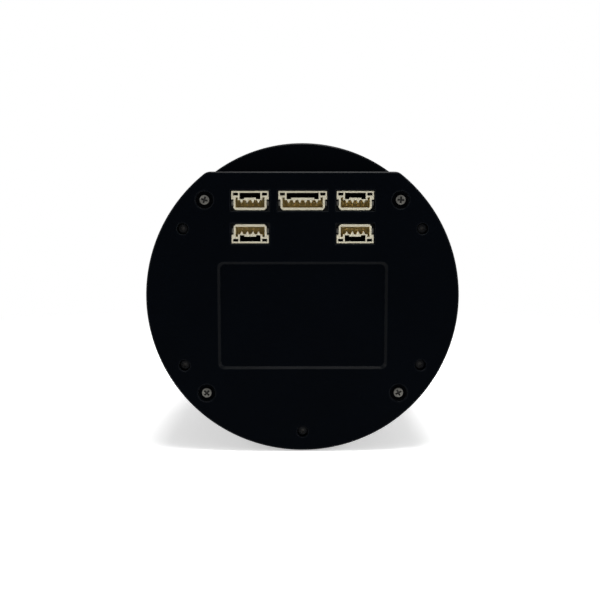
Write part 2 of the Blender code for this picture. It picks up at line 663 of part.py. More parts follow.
def build_cooling_body(parent):
    length = COOLING_FRONT - COOLING_REAR
    bm = bmesh.new()
    add_prism(bm, circle((0, 0), BODY_RADIUS, BODY_SIDES), 0, length)
    body = piece("cooling_body", bm, "black_anodised", COOLING_REAR, parent)

    bore = BODY_RADIUS - COOLING_WALL
    bm = bmesh.new()
    add_prism(bm, circle((0, 0), bore, BODY_SIDES), BULKHEAD_THICKNESS, length + CUT_OVER)
    cavity = tool("cooling_body_cavity", bm, body)
    inside = BULKHEAD_THICKNESS - CUT_OVER
    bosses = circles(body_places(), BODY_BOSS_RADIUS, SMALL_BORE_SIDES)
    cut_prisms(cavity, "body_bosses", bosses, inside, BULKHEAD_THICKNESS + BODY_BOSS_HEIGHT)
    bosses = circles(housing_places(), HOUSING_BOSS_RADIUS, SMALL_BORE_SIDES)
    boss_rear = length - HOUSING_BOSS_HEIGHT
    cut_prisms(cavity, "housing_bosses", bosses, boss_rear, length + 2 * CUT_OVER)
    boolean(body, cavity, "DIFFERENCE")

    vent_rear = BULKHEAD_THICKNESS + BODY_BOSS_HEIGHT + VENT_MARGIN
    slot = rectangle((BODY_RADIUS, 0), 3 * COOLING_WALL, VENT_WIDTH)
    vents = [turned_outline(slot, (n + 0.5) / VENT_COUNT) for n in range(VENT_COUNT)]
    cut_prisms(body, "vents", vents, vent_rear, boss_rear - VENT_MARGIN)

    bosses = circles(cover_places(), BULKHEAD_BOSS_RADIUS)
    add_prisms(body, "board_bosses", bosses, -BULKHEAD_BOSS_HEIGHT, SUNK_IN)
    ends = (-BULKHEAD_BOSS_HEIGHT - CUT_OVER, BULKHEAD_THICKNESS + CUT_OVER)
    cut_prisms(body, "stud_holes", circles(cover_places(), STUD_RADIUS + SCREW_GAP), *ends)
    holes = circles(body_places(), BODY_SCREW["shank"] + SCREW_GAP)
    cut_prisms(body, "body_screw_holes", holes, -CUT_OVER, BODY_SCREW_BITE + GAP)
    holes = circles(housing_places(), HOUSING_SCREW["shank"] + SCREW_GAP)
    cut_prisms(body, "housing_screw_holes", holes, boss_rear + GAP, length + CUT_OVER)
    ends = (-CUT_OVER, BULKHEAD_THICKNESS + CUT_OVER)
    cut_prisms(body, "wire_passages", wire_slots(), *ends)
    fan_wire = circles([(WIRE_PLACE, FAN_WIRE_OFFSET)], WIRE_RADIUS + WIRE_HOLE_GAP)
    cut_prisms(body, "fan_wire_hole", fan_wire, *ends)


def ribbon_slot():
    thickness = RIBBON_THICKNESS + 2 * WIRE_HOLE_GAP
    return rectangle((-WIRE_PLACE, 0), thickness, RIBBON_WIDTH + 2 * WIRE_HOLE_GAP)


def wire_slots():
    """The passages for the sensor's ribbon and for the cooler's two wires."""
    room = 2 * (WIRE_RADIUS + WIRE_HOLE_GAP)
    return [ribbon_slot(), rectangle((WIRE_PLACE, 0), room, 2 * TEC_WIRE_SPREAD + room)]


def fan_corner_places():
    offset = FAN_SIZE / 2 - FAN_SCREW_INSET
    return [(x * offset, z * offset) for x in (-1, 1) for z in (-1, 1)]


def bearing_seat_radius():
    return SHAFT_RADIUS + SHAFT_RUNNING_GAP + BEARING_WALL + SCREW_GAP


def bearing_tube_radius():
    return bearing_seat_radius() + BEARING_TUBE_WALL


def build_fan_frame(parent):
    bore = FAN_SIZE / 2 - FAN_WALL
    bm = bmesh.new()
    outline = rounded_rectangle((0, 0), FAN_SIZE, FAN_SIZE, FAN_CORNER, 3)
    add_prism(bm, outline, 0, FAN_DEPTH)
    frame = piece("fan_frame", bm, "fan_plastic", FAN_REAR, parent)
    ends = (-CUT_OVER, FAN_DEPTH + CUT_OVER)
    cut_prisms(frame, "bore", [circle((0, 0), bore, BORE_SIDES)], *ends)
    spider = FAN_DEPTH - SPIDER_THICKNESS
    add_prisms(frame, "hub_plate", [circle((0, 0), SPIDER_RADIUS, SMALL_BORE_SIDES)], spider, FAN_DEPTH)
    inner, outer = SPIDER_RADIUS - SUNK_IN, bore + SUNK_IN
    strut = rectangle(((inner + outer) / 2, 0), outer - inner, STRUT_WIDTH)
    struts = [turned_outline(strut, (n + 0.5) / STRUT_COUNT) for n in range(STRUT_COUNT)]
    add_prisms(frame, "struts", struts, spider + STRUT_SETBACK, FAN_DEPTH - STRUT_SETBACK)
    tube = circle((0, 0), bearing_tube_radius(), SMALL_BORE_SIDES)
    add_prisms(frame, "bearing_tube", [tube], tube_rear_in_fan(), spider + SUNK_IN)
    seat = circle((0, 0), bearing_seat_radius(), SMALL_BORE_SIDES)
    cut_prisms(frame, "bearing_seat", [seat], *ends)
    holes = circles(fan_corner_places(), FAN_SCREW["shank"] + SCREW_GAP)
    cut_prisms(frame, "screw_holes", holes, *ends)


def tube_rear_in_fan():
    """Where the bearing tube ends, just clear of the rotor's boss, from the fan's rear face."""
    return HUB_SINK + HUB_FACE + HUB_BOSS_HEIGHT + ROTOR_RUNNING_GAP


def build_bearing(parent):
    inner = SHAFT_RADIUS + SHAFT_RUNNING_GAP
    outer = inner + BEARING_WALL
    bm = bmesh.new()
    add_tube(bm, inner, outer, BEARING_LENGTH, SMALL_BORE_SIDES)
    rear = FAN_REAR + tube_rear_in_fan() + GAP
    piece("fan_bearing", bm, "brass", rear, parent)


def build_stator(parent):
    inner, outer = bearing_tube_radius() + GAP, HUB_RADIUS - HUB_WALL - 2 * ROTOR_RUNNING_GAP
    bm = bmesh.new()
    add_tube(bm, inner, outer, STATOR_LENGTH, SMALL_BORE_SIDES)
    rear = FAN_FRONT - SPIDER_THICKNESS - GAP - STATOR_LENGTH
    stator = piece("fan_stator", bm, "copper", rear, parent)
    slots = []
    for number in range(STATOR_POLES):
        x, z = polar(outer, 360 * number / STATOR_POLES)
        slots.append(circle((x, z), STATOR_SLOT, SCREW_SIDES // 2))
    cut_prisms(stator, "pole_slots", slots, -CUT_OVER, STATOR_LENGTH + CUT_OVER)


def add_blade(bm, start, root, tip):
    """One blade, a thin box bent round the axis and twisted from root to tip."""
    cells_along, cells_out = 4, 2
    grid = {}
    for side in (0, 1):
        for out in range(cells_out + 1):
            share = out / cells_out
            radius = root + (tip - root) * share
            pitch = BLADE_ROOT_PITCH + (BLADE_TIP_PITCH - BLADE_ROOT_PITCH) * share
            for along in range(cells_along + 1):
                run = BLADE_CHORD * (along / cells_along - 0.5)
                lift = BLADE_THICKNESS * (side - 0.5)
                sideways = run * math.cos(pitch) - lift * math.sin(pitch)
                y = run * math.sin(pitch) + lift * math.cos(pitch)
                angle = start + sideways / radius
                place = (radius * math.cos(angle), y, radius * math.sin(angle))
                grid[side, out, along] = bm.verts.new(place)
    for out in range(cells_out):
        for along in range(cells_along):
            for side in (0, 1):
                bm.faces.new(
                    grid[side, a, b]
                    for a, b in ((out, along), (out + 1, along), (out + 1, along + 1), (out, along + 1))
                )
    for along in range(cells_along):
        for out in (0, cells_out):
            pairs = ((0, along), (1, along), (1, along + 1), (0, along + 1))
            bm.faces.new(grid[side, out, b] for side, b in pairs)
    for out in range(cells_out):
        for along in (0, cells_along):
            pairs = ((0, out), (1, out), (1, out + 1), (0, out + 1))
            bm.faces.new(grid[side, a, along] for side, a in pairs)


def build_rotor(parent):
    """The rotor's own y = 0 is its parent's, at the fan's rear face."""
    inner = HUB_RADIUS - HUB_WALL
    rear, front = HUB_SINK, HUB_SINK + HUB_LENGTH
    boss_front = rear + HUB_FACE + HUB_BOSS_HEIGHT
    socket_radius, socket_floor = SHAFT_RADIUS + SCREW_GAP, rear + HUB_FACE / 2
    bm = bmesh.new()
    profile = [
        (0, rear),
        (HUB_RADIUS, rear),
        (HUB_RADIUS, front),
        (inner, front),
        (inner, rear + HUB_FACE),
        (HUB_BOSS_RADIUS, rear + HUB_FACE),
        (HUB_BOSS_RADIUS, boss_front),
        (socket_radius, boss_front),
        (socket_radius, socket_floor),
        (0, socket_floor),
    ]
    add_turned(bm, profile, SMALL_BORE_SIDES, ring=False)
    rotor = piece("fan_rotor", bm, "fan_plastic", 0, parent)
    bm = bmesh.new()
    tip = FAN_SIZE / 2 - FAN_WALL - FAN_TIP_GAP
    for number in range(BLADE_COUNT):
        add_blade(bm, TURN * number / BLADE_COUNT, HUB_RADIUS - HUB_WALL / 2, tip)
    blades = tool("fan_rotor_blades", bm, rotor)
    blades.location.y = (rear + front) / 2
    boolean(rotor, blades, "UNION")

    bm = bmesh.new()
    shaft_rear = socket_floor + SCREW_GAP
    shaft_front = tube_rear_in_fan() + GAP + BEARING_LENGTH + GAP
    add_prism(bm, circle((0, 0), SHAFT_RADIUS, SMALL_BORE_SIDES), shaft_rear, shaft_front)
    piece("fan_shaft", bm, "steel", 0, parent)


def build_heatsink(parent):
    """Its own y = 0 is at the fin tips."""
    depth = FIN_HEIGHT + HEATSINK_BASE
    base_radius = BODY_RADIUS - COOLING_WALL - GAP
    bm = bmesh.new()
    add_prism(bm, circle((0, 0), base_radius, BODY_SIDES), FIN_HEIGHT, depth)
    sink = piece("heatsink", bm, "bare_aluminium", FIN_TIPS, parent)
    half = FAN_SIZE / 2 - FIN_MARGIN
    count = int((half - FIN_THICKNESS / 2) // FIN_PITCH)
    fins = [rectangle((n * FIN_PITCH, 0), FIN_THICKNESS, 2 * half) for n in range(-count, count + 1)]
    add_prisms(sink, "fins", fins, 0, FIN_HEIGHT + SUNK_IN)
    add_prisms(sink, "posts", circles(fan_corner_places(), FAN_POST_RADIUS), 0, FIN_HEIGHT + SUNK_IN)
    holes = circles(fan_corner_places(), FAN_SCREW["shank"] + SCREW_GAP)
    cut_prisms(sink, "screw_holes", holes, -CUT_OVER, FIN_HEIGHT)
    ends = (FIN_HEIGHT - CUT_OVER, depth + CUT_OVER)
    notches = circles(housing_places(), HOUSING_BOSS_RADIUS + GAP, SMALL_BORE_SIDES)
    cut_prisms(sink, "boss_notches", notches, *ends)
    cut_prisms(sink, "wire_passages", wire_slots(), *ends)


def build_fan(fixed, spinning):
    build_fan_frame(fixed)
    build_bearing(fixed)
    build_stator(fixed)
    build_rotor(spinning)
    seat = FAN_REAR - GAP
    length = FAN_DEPTH + 2 * GAP + FIN_HEIGHT - FAN_SCREW_END
    mesh = screw_mesh("fan_screw", FAN_SCREW, length, "hexagon")
    screws("fan_screw", mesh, fan_corner_places(), seat, "steel", fixed)


def build_cooler(parent):
    pellet_front = TEC_THICKNESS - TEC_PLATE
    bm = bmesh.new()
    add_prism(bm, rectangle((0, 0), TEC_SIDE, TEC_SIDE), 0, TEC_PLATE)
    cooler = piece("thermoelectric_cooler", bm, "white_ceramic", TEC_FRONT - TEC_THICKNESS, parent)
    step = TEC_SIDE / TEC_PELLETS
    first = -TEC_SIDE / 2 + step / 2
    pellets = [
        rectangle((first + i * step, first + j * step), TEC_PELLET_SIDE, TEC_PELLET_SIDE)
        for i in range(TEC_PELLETS)
        for j in range(TEC_PELLETS)
    ]
    sunk = TEC_PLATE / 2
    add_prisms(cooler, "pellets", pellets, TEC_PLATE - sunk, pellet_front + sunk)
    cold_side = rectangle((0, 0), TEC_SIDE, TEC_SIDE)
    add_prisms(cooler, "cold_plate", [cold_side], pellet_front, TEC_THICKNESS)

    pad_front = PACKAGE_REAR - GAP
    bm = bmesh.new()
    add_prism(bm, rectangle((0, 0), FINGER_SIDE, FINGER_SIDE), 0, FINGER_BASE)
    finger = piece("cold_finger", bm, "copper", FINGER_REAR, parent)
    pad = rectangle((0, 0), FINGER_PAD_SIDE, FINGER_PAD_SIDE)
    add_prisms(finger, "pad", [pad], FINGER_BASE - SUNK_IN, pad_front - FINGER_REAR)


def sensor_screw_places():
    return ring_places(SENSOR_SCREW_CIRCLE, SENSOR_SCREW_ANGLES)


def chamber_base_radius():
    return CHAMBER_RADIUS + CHAMBER_STEP - GAP


def build_chamber_base(parent):
    thickness = CHAMBER_BASE_THICKNESS
    bm = bmesh.new()
    add_prism(bm, circle((0, 0), chamber_base_radius(), BODY_SIDES), 0, thickness)
    base = piece("chamber_base", bm, "black_anodised", HOUSING_REAR, parent)
    posts = circles(sensor_screw_places(), SENSOR_POST_RADIUS)
    post_front = SENSOR_BOARD_REAR - GAP - HOUSING_REAR
    add_prisms(base, "posts", posts, thickness - SUNK_IN, post_front)
    holes = circles(sensor_screw_places(), SENSOR_SCREW["shank"] + SCREW_GAP)
    cut_prisms(base, "screw_holes", holes, thickness / 2, post_front + CUT_OVER)
    cooler_hole = rectangle((0, 0), TEC_SIDE + 2 * GAP, TEC_SIDE + 2 * GAP)
    cut_prisms(base, "cooler_hole", [cooler_hole], -CUT_OVER, thickness + CUT_OVER)
    cut_prisms(base, "ribbon_slot", [ribbon_slot()], -CUT_OVER, thickness + CUT_OVER)
    room = WIRE_RADIUS + WIRE_HOLE_GAP
    reach = WIRE_PLACE + room
    channel = rectangle((reach / 2, 0), reach, 2 * (TEC_WIRE_SPREAD + room))
    cut_prisms(base, "wire_channel", [channel], -CUT_OVER, cooler_wire_height() + room)


def cooler_wire_height():
    """From the chamber base's rear face to the middle of the cooler's wires."""
    return WIRE_RADIUS + WIRE_HOLE_GAP


def build_sensor(parent):
    bm = bmesh.new()
    add_prism(bm, circle((0, 0), SENSOR_BOARD_RADIUS, BORE_SIDES), 0, BOARD_THICKNESS)
    board = piece("sensor_board", bm, "board_green", SENSOR_BOARD_REAR, parent)
    ends = (-CUT_OVER, BOARD_THICKNESS + CUT_OVER)
    opening = rectangle((0, 0), FINGER_PAD_SIDE + 2 * GAP, FINGER_PAD_SIDE + 2 * GAP)
    cut_prisms(board, "finger_opening", [opening], *ends)
    holes = circles(sensor_screw_places(), SENSOR_SCREW["shank"] + SCREW_GAP)
    cut_prisms(board, "screw_holes", holes, *ends)

    bm = bmesh.new()
    add_prism(bm, rectangle((0, 0), PACKAGE_WIDTH, PACKAGE_HEIGHT), 0, PACKAGE_THICKNESS)
    package = piece("sensor_package", bm, "sensor_ceramic", PACKAGE_REAR, parent)
    inside = rectangle((0, 0), PACKAGE_WIDTH - 2 * PACKAGE_RIM, PACKAGE_HEIGHT - 2 * PACKAGE_RIM)
    floor = PACKAGE_THICKNESS - SENSOR_RECESS
    cut_prisms(package, "die_recess", [inside], floor, PACKAGE_THICKNESS + CUT_OVER)

    bm = bmesh.new()
    width, height = PACKAGE_WIDTH - 2 * COVER_GLASS_INSET, PACKAGE_HEIGHT - 2 * COVER_GLASS_INSET
    add_prism(bm, rectangle((0, 0), width, height), 0, COVER_GLASS_THICKNESS)
    piece("sensor_glass", bm, "glass", PACKAGE_FRONT + GAP, parent)

    seat = SENSOR_BOARD_FRONT + GAP
    length = seat - CHAMBER_BASE_FRONT
    mesh = screw_mesh("sensor_board_screw", SENSOR_SCREW, length, "hexagon")
    screws("sensor_board_screw", mesh, sensor_screw_places(), seat, "steel", parent, turned=True)


def window_stations():
    """The y of five faces from the front inwards: ring, ring rear, window, window rear, web."""
    ring_front = HOUSING_FRONT - RING_RECESS
    ring_rear = ring_front - RING_THICKNESS
    window_front = ring_rear - GAP
    window_rear = window_front - WINDOW_THICKNESS
    web_front = window_rear - 2 * SEAL_SEAT - SEAL_THICKNESS
    return ring_front, ring_rear, window_front, window_rear, web_front


def plug_place():
    """Halfway along the sensor chamber."""
    web_rear = window_stations()[4] - WEB_THICKNESS
    return (CHAMBER_BASE_FRONT + web_rear) / 2


def add_radial_cylinder(bm, radius, inner, outer, y):
    """A cylinder along X, on the -X side, between two distances from the optical axis."""
    made = bmesh.ops.create_cone(
        bm,
        cap_ends=True,
        segments=SMALL_BORE_SIDES,
        radius1=radius,
        radius2=radius,
        depth=outer - inner,
    )
    bmesh.ops.rotate(bm, verts=made["verts"], matrix=Matrix.Rotation(RIGHT_ANGLE, 3, "Y"))
    bmesh.ops.translate(bm, verts=made["verts"], vec=(-(inner + outer) / 2, y, 0))


def build_front_housing(parent):
    """Its own y = 0 is at its rear face."""
    *_, web_front = window_stations()
    web_rear = web_front - WEB_THICKNESS - HOUSING_REAR
    web_front -= HOUSING_REAR
    front = HOUSING_FRONT - HOUSING_REAR
    step = CHAMBER_BASE_THICKNESS + 2 * SEAL_SEAT + SEAL_THICKNESS
    seat = CHAMBER_RADIUS + CHAMBER_STEP
    pocket = WINDOW_RADIUS + GAP
    bm = bmesh.new()
    add_prism(bm, circle((0, 0), BODY_RADIUS, BODY_SIDES), 0, front)
    housing = piece("front_housing", bm, "black_anodised", HOUSING_REAR, parent)
    bm = bmesh.new()
    profile = [
        (0, -CUT_OVER),
        (seat, -CUT_OVER),
        (seat, step),
        (CHAMBER_RADIUS, step),
        (CHAMBER_RADIUS, web_rear),
        (APERTURE_RADIUS, web_rear),
        (APERTURE_RADIUS, web_front),
        (pocket, web_front),
        (pocket, front + CUT_OVER),
        (0, front + CUT_OVER),
    ]
    add_turned(bm, profile, BORE_SIDES, ring=False)
    boolean(housing, tool("front_housing_bores", bm, housing), "DIFFERENCE")

    holes = circles(housing_places(), HOUSING_SCREW["shank"] + SCREW_GAP)
    cut_prisms(housing, "screw_holes", holes, -CUT_OVER, front)
    wells = circles(housing_places(), HOUSING_SCREW["head"] + HEAD_CLEARANCE)
    cut_prisms(housing, "screw_wells", wells, HOUSING_COUNTERBORE_FLOOR, front + CUT_OVER)
    holes = circles(plate_places(), PLATE_SCREW["shank"] + SCREW_GAP)
    hole_floor = front - PLATE_SCREW_BITE - SCREW_GAP
    cut_prisms(housing, "plate_screw_holes", holes, hole_floor, front + CUT_OVER)

    plug_y = plug_place() - HOUSING_REAR
    head_floor = BODY_RADIUS - PLUG_SINK - PLUG_HEAD_HEIGHT - GAP
    bm = bmesh.new()
    inner = CHAMBER_RADIUS - CUT_OVER
    add_radial_cylinder(bm, PLUG_RADIUS + GAP, inner, BODY_RADIUS + CUT_OVER, plug_y)
    boolean(housing, tool("front_housing_plug_hole", bm, housing), "DIFFERENCE")
    bm = bmesh.new()
    add_radial_cylinder(bm, PLUG_HEAD_RADIUS + GAP, head_floor, BODY_RADIUS + CUT_OVER, plug_y)
    boolean(housing, tool("front_housing_plug_seat", bm, housing), "DIFFERENCE")


def build_desiccant_plug(parent):
    head_outer = BODY_RADIUS - PLUG_SINK
    head_inner = head_outer - PLUG_HEAD_HEIGHT
    bm = bmesh.new()
    add_radial_cylinder(bm, PLUG_HEAD_RADIUS, head_inner, head_outer, 0)
    plug = piece("desiccant_plug", bm, "black_anodised", plug_place(), parent)
    bm = bmesh.new()
    add_radial_cylinder(bm, PLUG_RADIUS, CHAMBER_RADIUS + GAP, head_inner + SUNK_IN, 0)
    boolean(plug, tool("desiccant_plug_stem", bm, plug), "UNION")
    bm = bmesh.new()
    slot_middle = head_outer + CUT_OVER / 2 - PLUG_SLOT_DEPTH / 2
    slot = rectangle((-slot_middle, 0), PLUG_SLOT_DEPTH + CUT_OVER, PLUG_SLOT_WIDTH)
    add_prism(bm, slot, -PLUG_HEAD_RADIUS - CUT_OVER, PLUG_HEAD_RADIUS + CUT_OVER)
    boolean(plug, tool("desiccant_plug_slot", bm, plug), "DIFFERENCE")


def build_window(parent):
    _, ring_rear, window_front, window_rear, _ = window_stations()
    seal_middle = window_rear - SEAL_SEAT - SEAL_THICKNESS / 2
    bm = bmesh.new()
    add_seal(bm, WINDOW_RADIUS - WINDOW_SEAL_INSET)
    piece("window_o_ring", bm, "black_rubber", seal_middle, parent)

    bm = bmesh.new()
    add_seal(bm, chamber_base_radius() - CHAMBER_STEP / 2)
    middle = CHAMBER_BASE_FRONT + SEAL_SEAT + SEAL_THICKNESS / 2
    piece("chamber_o_ring", bm, "black_rubber", middle, parent)

    bm = bmesh.new()
    add_prism(bm, circle((0, 0), WINDOW_RADIUS, BORE_SIDES), 0, window_front - window_rear)
    piece("window_glass", bm, "glass", window_rear, parent)

    bm = bmesh.new()
    inner = WINDOW_RADIUS - RING_WIDTH
    add_tube(bm, inner, WINDOW_RADIUS, RING_THICKNESS, BORE_SIDES)
    ring = piece("window_retaining_ring", bm, "black_anodised", ring_rear, parent)
    slot = rectangle((0, 0), 2 * (WINDOW_RADIUS + CUT_OVER), RING_SLOT_WIDTH)
    floor = RING_THICKNESS - RING_SLOT_DEPTH
    cut_prisms(ring, "key_slots", [slot], floor, RING_THICKNESS + CUT_OVER)


def plate_places():
    return ring_places(BODY_RADIUS - PLATE_SCREW_INSET, PLATE_SCREW_ANGLES)


def build_front_plate(parent):
    """Its own y = 0 is at its rear face."""
    bm = bmesh.new()
    add_tube(bm, THREAD_RADIUS, BODY_RADIUS, PLATE_THICKNESS, BODY_SIDES)
    plate = piece("front_plate", bm, "black_anodised", -PLATE_THICKNESS, parent)
    seat = PLATE_THICKNESS - PLATE_HEAD_SINK - PLATE_SCREW["height"]
    wells = circles(plate_places(), PLATE_SCREW["head"] + SCREW_GAP)
    cut_prisms(plate, "wells", wells, seat - SCREW_GAP, PLATE_THICKNESS + CUT_OVER)
    holes = circles(plate_places(), PLATE_SCREW["shank"] + SCREW_GAP)
    cut_prisms(plate, "screw_holes", holes, -CUT_OVER, PLATE_THICKNESS)
    length = seat + GAP + PLATE_SCREW_BITE - SCREW_GAP
    mesh = screw_mesh("front_plate_screw", PLATE_SCREW, length, "hexagon")
    places, rear = plate_places(), -PLATE_THICKNESS + seat
    screws("front_plate_screw", mesh, places, rear, "black_steel", parent, turned=True)

    seat = HOUSING_REAR + HOUSING_COUNTERBORE_FLOOR + SCREW_GAP
    length = seat - COOLING_FRONT + HOUSING_BOSS_HEIGHT - 2 * GAP
    mesh = screw_mesh("housing_screw", HOUSING_SCREW, length, "hexagon")
    screws("housing_screw", mesh, housing_places(), seat, "black_steel", parent, turned=True)


def build_ribbon(parent):
    """A flat strip between the sensor board and the main board, bent along an (x, y) path."""
    x, radius = -WIRE_PLACE, WIRE_BEND
    front = SENSOR_BOARD_REAR - GAP - RIBBON_THICKNESS / 2
    rear = MAIN_BOARD_FRONT + GAP + RIBBON_THICKNESS / 2
    path = [(RIBBON_LAP - SENSOR_BOARD_RADIUS, front)]
    path += arc((x + radius, front - radius), radius, RIGHT_ANGLE, math.pi, BEND_STEPS)
    path += arc((x + radius, rear + radius), radius, math.pi, 3 * RIGHT_ANGLE, BEND_STEPS)
    path.append((x + RIBBON_TAIL, rear))
    bm = bmesh.new()
    low = [bm.verts.new((px, py, -RIBBON_WIDTH / 2)) for px, py in path]
    high = [bm.verts.new((px, py, RIBBON_WIDTH / 2)) for px, py in path]
    for i in range(len(path) - 1):
        bm.faces.new((low[i], low[i + 1], high[i + 1], high[i]))
    ribbon = piece("sensor_ribbon", bm, "amber_film", 0, parent)
    thick = ribbon.modifiers.new("thickness", "SOLIDIFY")
    thick.thickness = RIBBON_THICKNESS
    thick.offset = 0


def wire(name, points, finish, parent):
    curve = bpy.data.curves.new(name, "CURVE")
    curve.dimensions = "3D"
    curve.bevel_depth = WIRE_RADIUS
    curve.bevel_resolution = 2
    curve.use_fill_caps = True
    run = curve.splines.new("POLY")
    run.points.add(len(points) - 1)
    for point, place in zip(run.points, points, strict=True):
        point.co = (*place, 1)
    made = bpy.data.objects.new(name, curve)
    bpy.context.scene.collection.objects.link(made)
    made.parent = parent
    curve.materials.append(material(name, finish))


def build_wires(parent):
    end = MAIN_BOARD_FRONT + GAP
    y = HOUSING_REAR + cooler_wire_height()
    bend = arc((WIRE_PLACE - WIRE_BEND, y - WIRE_BEND), WIRE_BEND, RIGHT_ANGLE, 0, BEND_STEPS)
    leads = ((TEC_WIRE_SPREAD, "red_wire"), (-TEC_WIRE_SPREAD, "black_wire"))
    for number, (z, finish) in enumerate(leads, 1):
        path = [(TEC_SIDE / 2 + GAP, y), *bend, (WIRE_PLACE, end)]
        wire(f"tec_lead_{number}", [(px, py, z) for px, py in path], finish, parent)
    y = FAN_REAR + FAN_WIRE_EXIT
    bend = arc((WIRE_PLACE - WIRE_BEND, y - WIRE_BEND), WIRE_BEND, RIGHT_ANGLE, 0, BEND_STEPS)
    path = [(FAN_SIZE / 2 + GAP, y), *bend, (WIRE_PLACE, end)]
    wire("fan_lead", [(px, py, FAN_WIRE_OFFSET) for px, py in path], "black_wire", parent)


def main():
    clear_scene()
    fixed = bpy.data.objects.new("camera_frame", None)
    spinning = bpy.data.objects.new("fan_axis", None)
    for empty in (fixed, spinning):
        bpy.context.scene.collection.objects.link(empty)
    spinning.parent = fixed
    spinning.location = (0, FAN_REAR, 0)

    build_rear_cover(fixed)
    for name, ways, place, latch_up in header_layout():
        build_header(name, ways, place, latch_up, fixed)
    build_boards(fixed)
    build_standoffs(fixed)
    build_rear_screws(fixed)
    build_cooling_body(fixed)
    build_fan(fixed, spinning)
    build_heatsink(fixed)
    build_cooler(fixed)
    build_chamber_base(fixed)
    build_sensor(fixed)
    build_front_housing(fixed)
    build_desiccant_plug(fixed)
    build_window(fixed)
    build_front_plate(fixed)
    build_ribbon(fixed)
    build_wires(fixed)


main()
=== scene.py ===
import math

import bmesh
import bpy
from mathutils import Matrix, Vector


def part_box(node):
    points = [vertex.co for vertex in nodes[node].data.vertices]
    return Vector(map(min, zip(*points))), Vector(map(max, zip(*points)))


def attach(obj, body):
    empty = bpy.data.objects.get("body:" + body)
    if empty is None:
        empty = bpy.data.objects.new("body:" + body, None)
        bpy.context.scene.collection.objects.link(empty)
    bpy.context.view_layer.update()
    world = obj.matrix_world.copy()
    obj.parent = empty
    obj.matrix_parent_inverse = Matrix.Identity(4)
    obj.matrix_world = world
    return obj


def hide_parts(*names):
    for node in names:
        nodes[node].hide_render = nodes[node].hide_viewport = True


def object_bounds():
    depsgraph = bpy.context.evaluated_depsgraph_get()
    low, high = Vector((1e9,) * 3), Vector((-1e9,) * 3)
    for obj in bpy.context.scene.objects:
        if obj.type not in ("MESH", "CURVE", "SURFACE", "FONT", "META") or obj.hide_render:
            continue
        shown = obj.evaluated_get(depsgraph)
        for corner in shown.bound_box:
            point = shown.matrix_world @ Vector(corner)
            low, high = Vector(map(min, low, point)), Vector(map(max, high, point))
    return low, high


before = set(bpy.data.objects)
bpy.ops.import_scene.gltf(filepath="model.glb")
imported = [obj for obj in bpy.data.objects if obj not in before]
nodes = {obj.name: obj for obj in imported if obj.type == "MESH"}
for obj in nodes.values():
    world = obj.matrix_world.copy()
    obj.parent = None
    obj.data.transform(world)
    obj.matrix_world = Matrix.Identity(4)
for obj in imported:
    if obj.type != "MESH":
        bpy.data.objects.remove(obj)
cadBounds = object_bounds()
scene = bpy.context.scene
mm = 0.001
turn = 2 * math.pi
quarter = math.pi / 2
print("frame loaded:", len(nodes), "nodes")


# node tools


def join(tree, source, target):
    tree.links.new(source, target)


def node(tree, kind, values=None, **settings):
    # a value that is another node's socket is linked, and any other is set
    made = tree.nodes.new("ShaderNode" + kind)
    for key, value in settings.items():
        setattr(made, key, value)
    for key, value in (values or {}).items():
        if isinstance(value, bpy.types.NodeSocket):
            join(tree, value, made.inputs[key])
        else:
            made.inputs[key].default_value = value
    return made


# camera, floor and light

view = {
    "target": (0, -0.065, 0),
    "distance": 192.283 * mm,
    "elevation": 6.382,  # degrees
    "azimuth": -0.419,
    "lens": 51.593,
    "shift": (-0.00446, -0.00391),
    "sensor": 36,
    "nearest": 5 * mm,
}


def placeCamera():
    azimuth, elevation = math.radians(view["azimuth"]), math.radians(view["elevation"])
    flat = math.cos(elevation)
    away = Vector((math.sin(azimuth) * flat, -math.cos(azimuth) * flat, math.sin(elevation)))
    data = bpy.data.cameras.new("camera")
    data.lens = view["lens"]
    data.sensor_width = view["sensor"]
    data.shift_x, data.shift_y = view["shift"]
    data.clip_start = view["nearest"]
    camera = bpy.data.objects.new("camera", data)
    camera.location = Vector(view["target"]) + away * view["distance"]
    camera.rotation_euler = (-away).to_track_quat("-Z", "Y").to_euler()
    scene.collection.objects.link(camera)
    scene.camera = camera


studio = {
    "floorDrop": 0.3 * mm,  # below the body
    "floorSize": 12.0,
    "floorColour": (0.86, 0.86, 0.86),
    "floorLift": 0.48,  # how much lighter the floor is seen than it is lit
    "shadowReach": (60 * mm, 240 * mm),  # the floor turns plain white between these distances
    "worldLevel": 0.26,
    "aim": (0, -0.035, 0),
    "lamps": (
        # name, place, size, watts
        ("overhead", (0.05, -0.12, 0.62), 0.34, 4.2),
        ("leftFill", (-0.7, -0.45, 0.35), 0.5, 2.4),
        ("rightFill", (0.7, -0.35, 0.25), 0.5, 2.7),
        ("frontFill", (0.1, 0.75, 0.4), 0.5, 2.6),
    ),
}
white = (1, 1, 1, 1)


def seenAs(tree, plain, seen):
    # one shader for the camera and in reflections, the plain one for lighting
    path = node(tree, "LightPath")
    rays = {0: path.outputs["Is Camera Ray"], 1: path.outputs["Is Glossy Ray"]}
    either = node(tree, "Math", rays, operation="MAXIMUM")
    rays = {0: either.outputs[0], 1: path.outputs["Is Transmission Ray"]}
    either = node(tree, "Math", rays, operation="MAXIMUM")
    return node(tree, "MixShader", {0: either.outputs[0], 1: plain.outputs[0], 2: seen.outputs[0]})


def buildWorld():
    world = bpy.data.worlds.new("studioWorld")
    scene.world = world
    world.use_nodes = True
    tree = world.node_tree
    plain = tree.nodes["Background"]
    plain.inputs["Color"].default_value = white
    plain.inputs["Strength"].default_value = studio["worldLevel"]
    mix = seenAs(tree, plain, node(tree, "Background", {"Color": white, "Strength": 1}))
    join(tree, mix.outputs[0], tree.nodes["World Output"].inputs["Surface"])


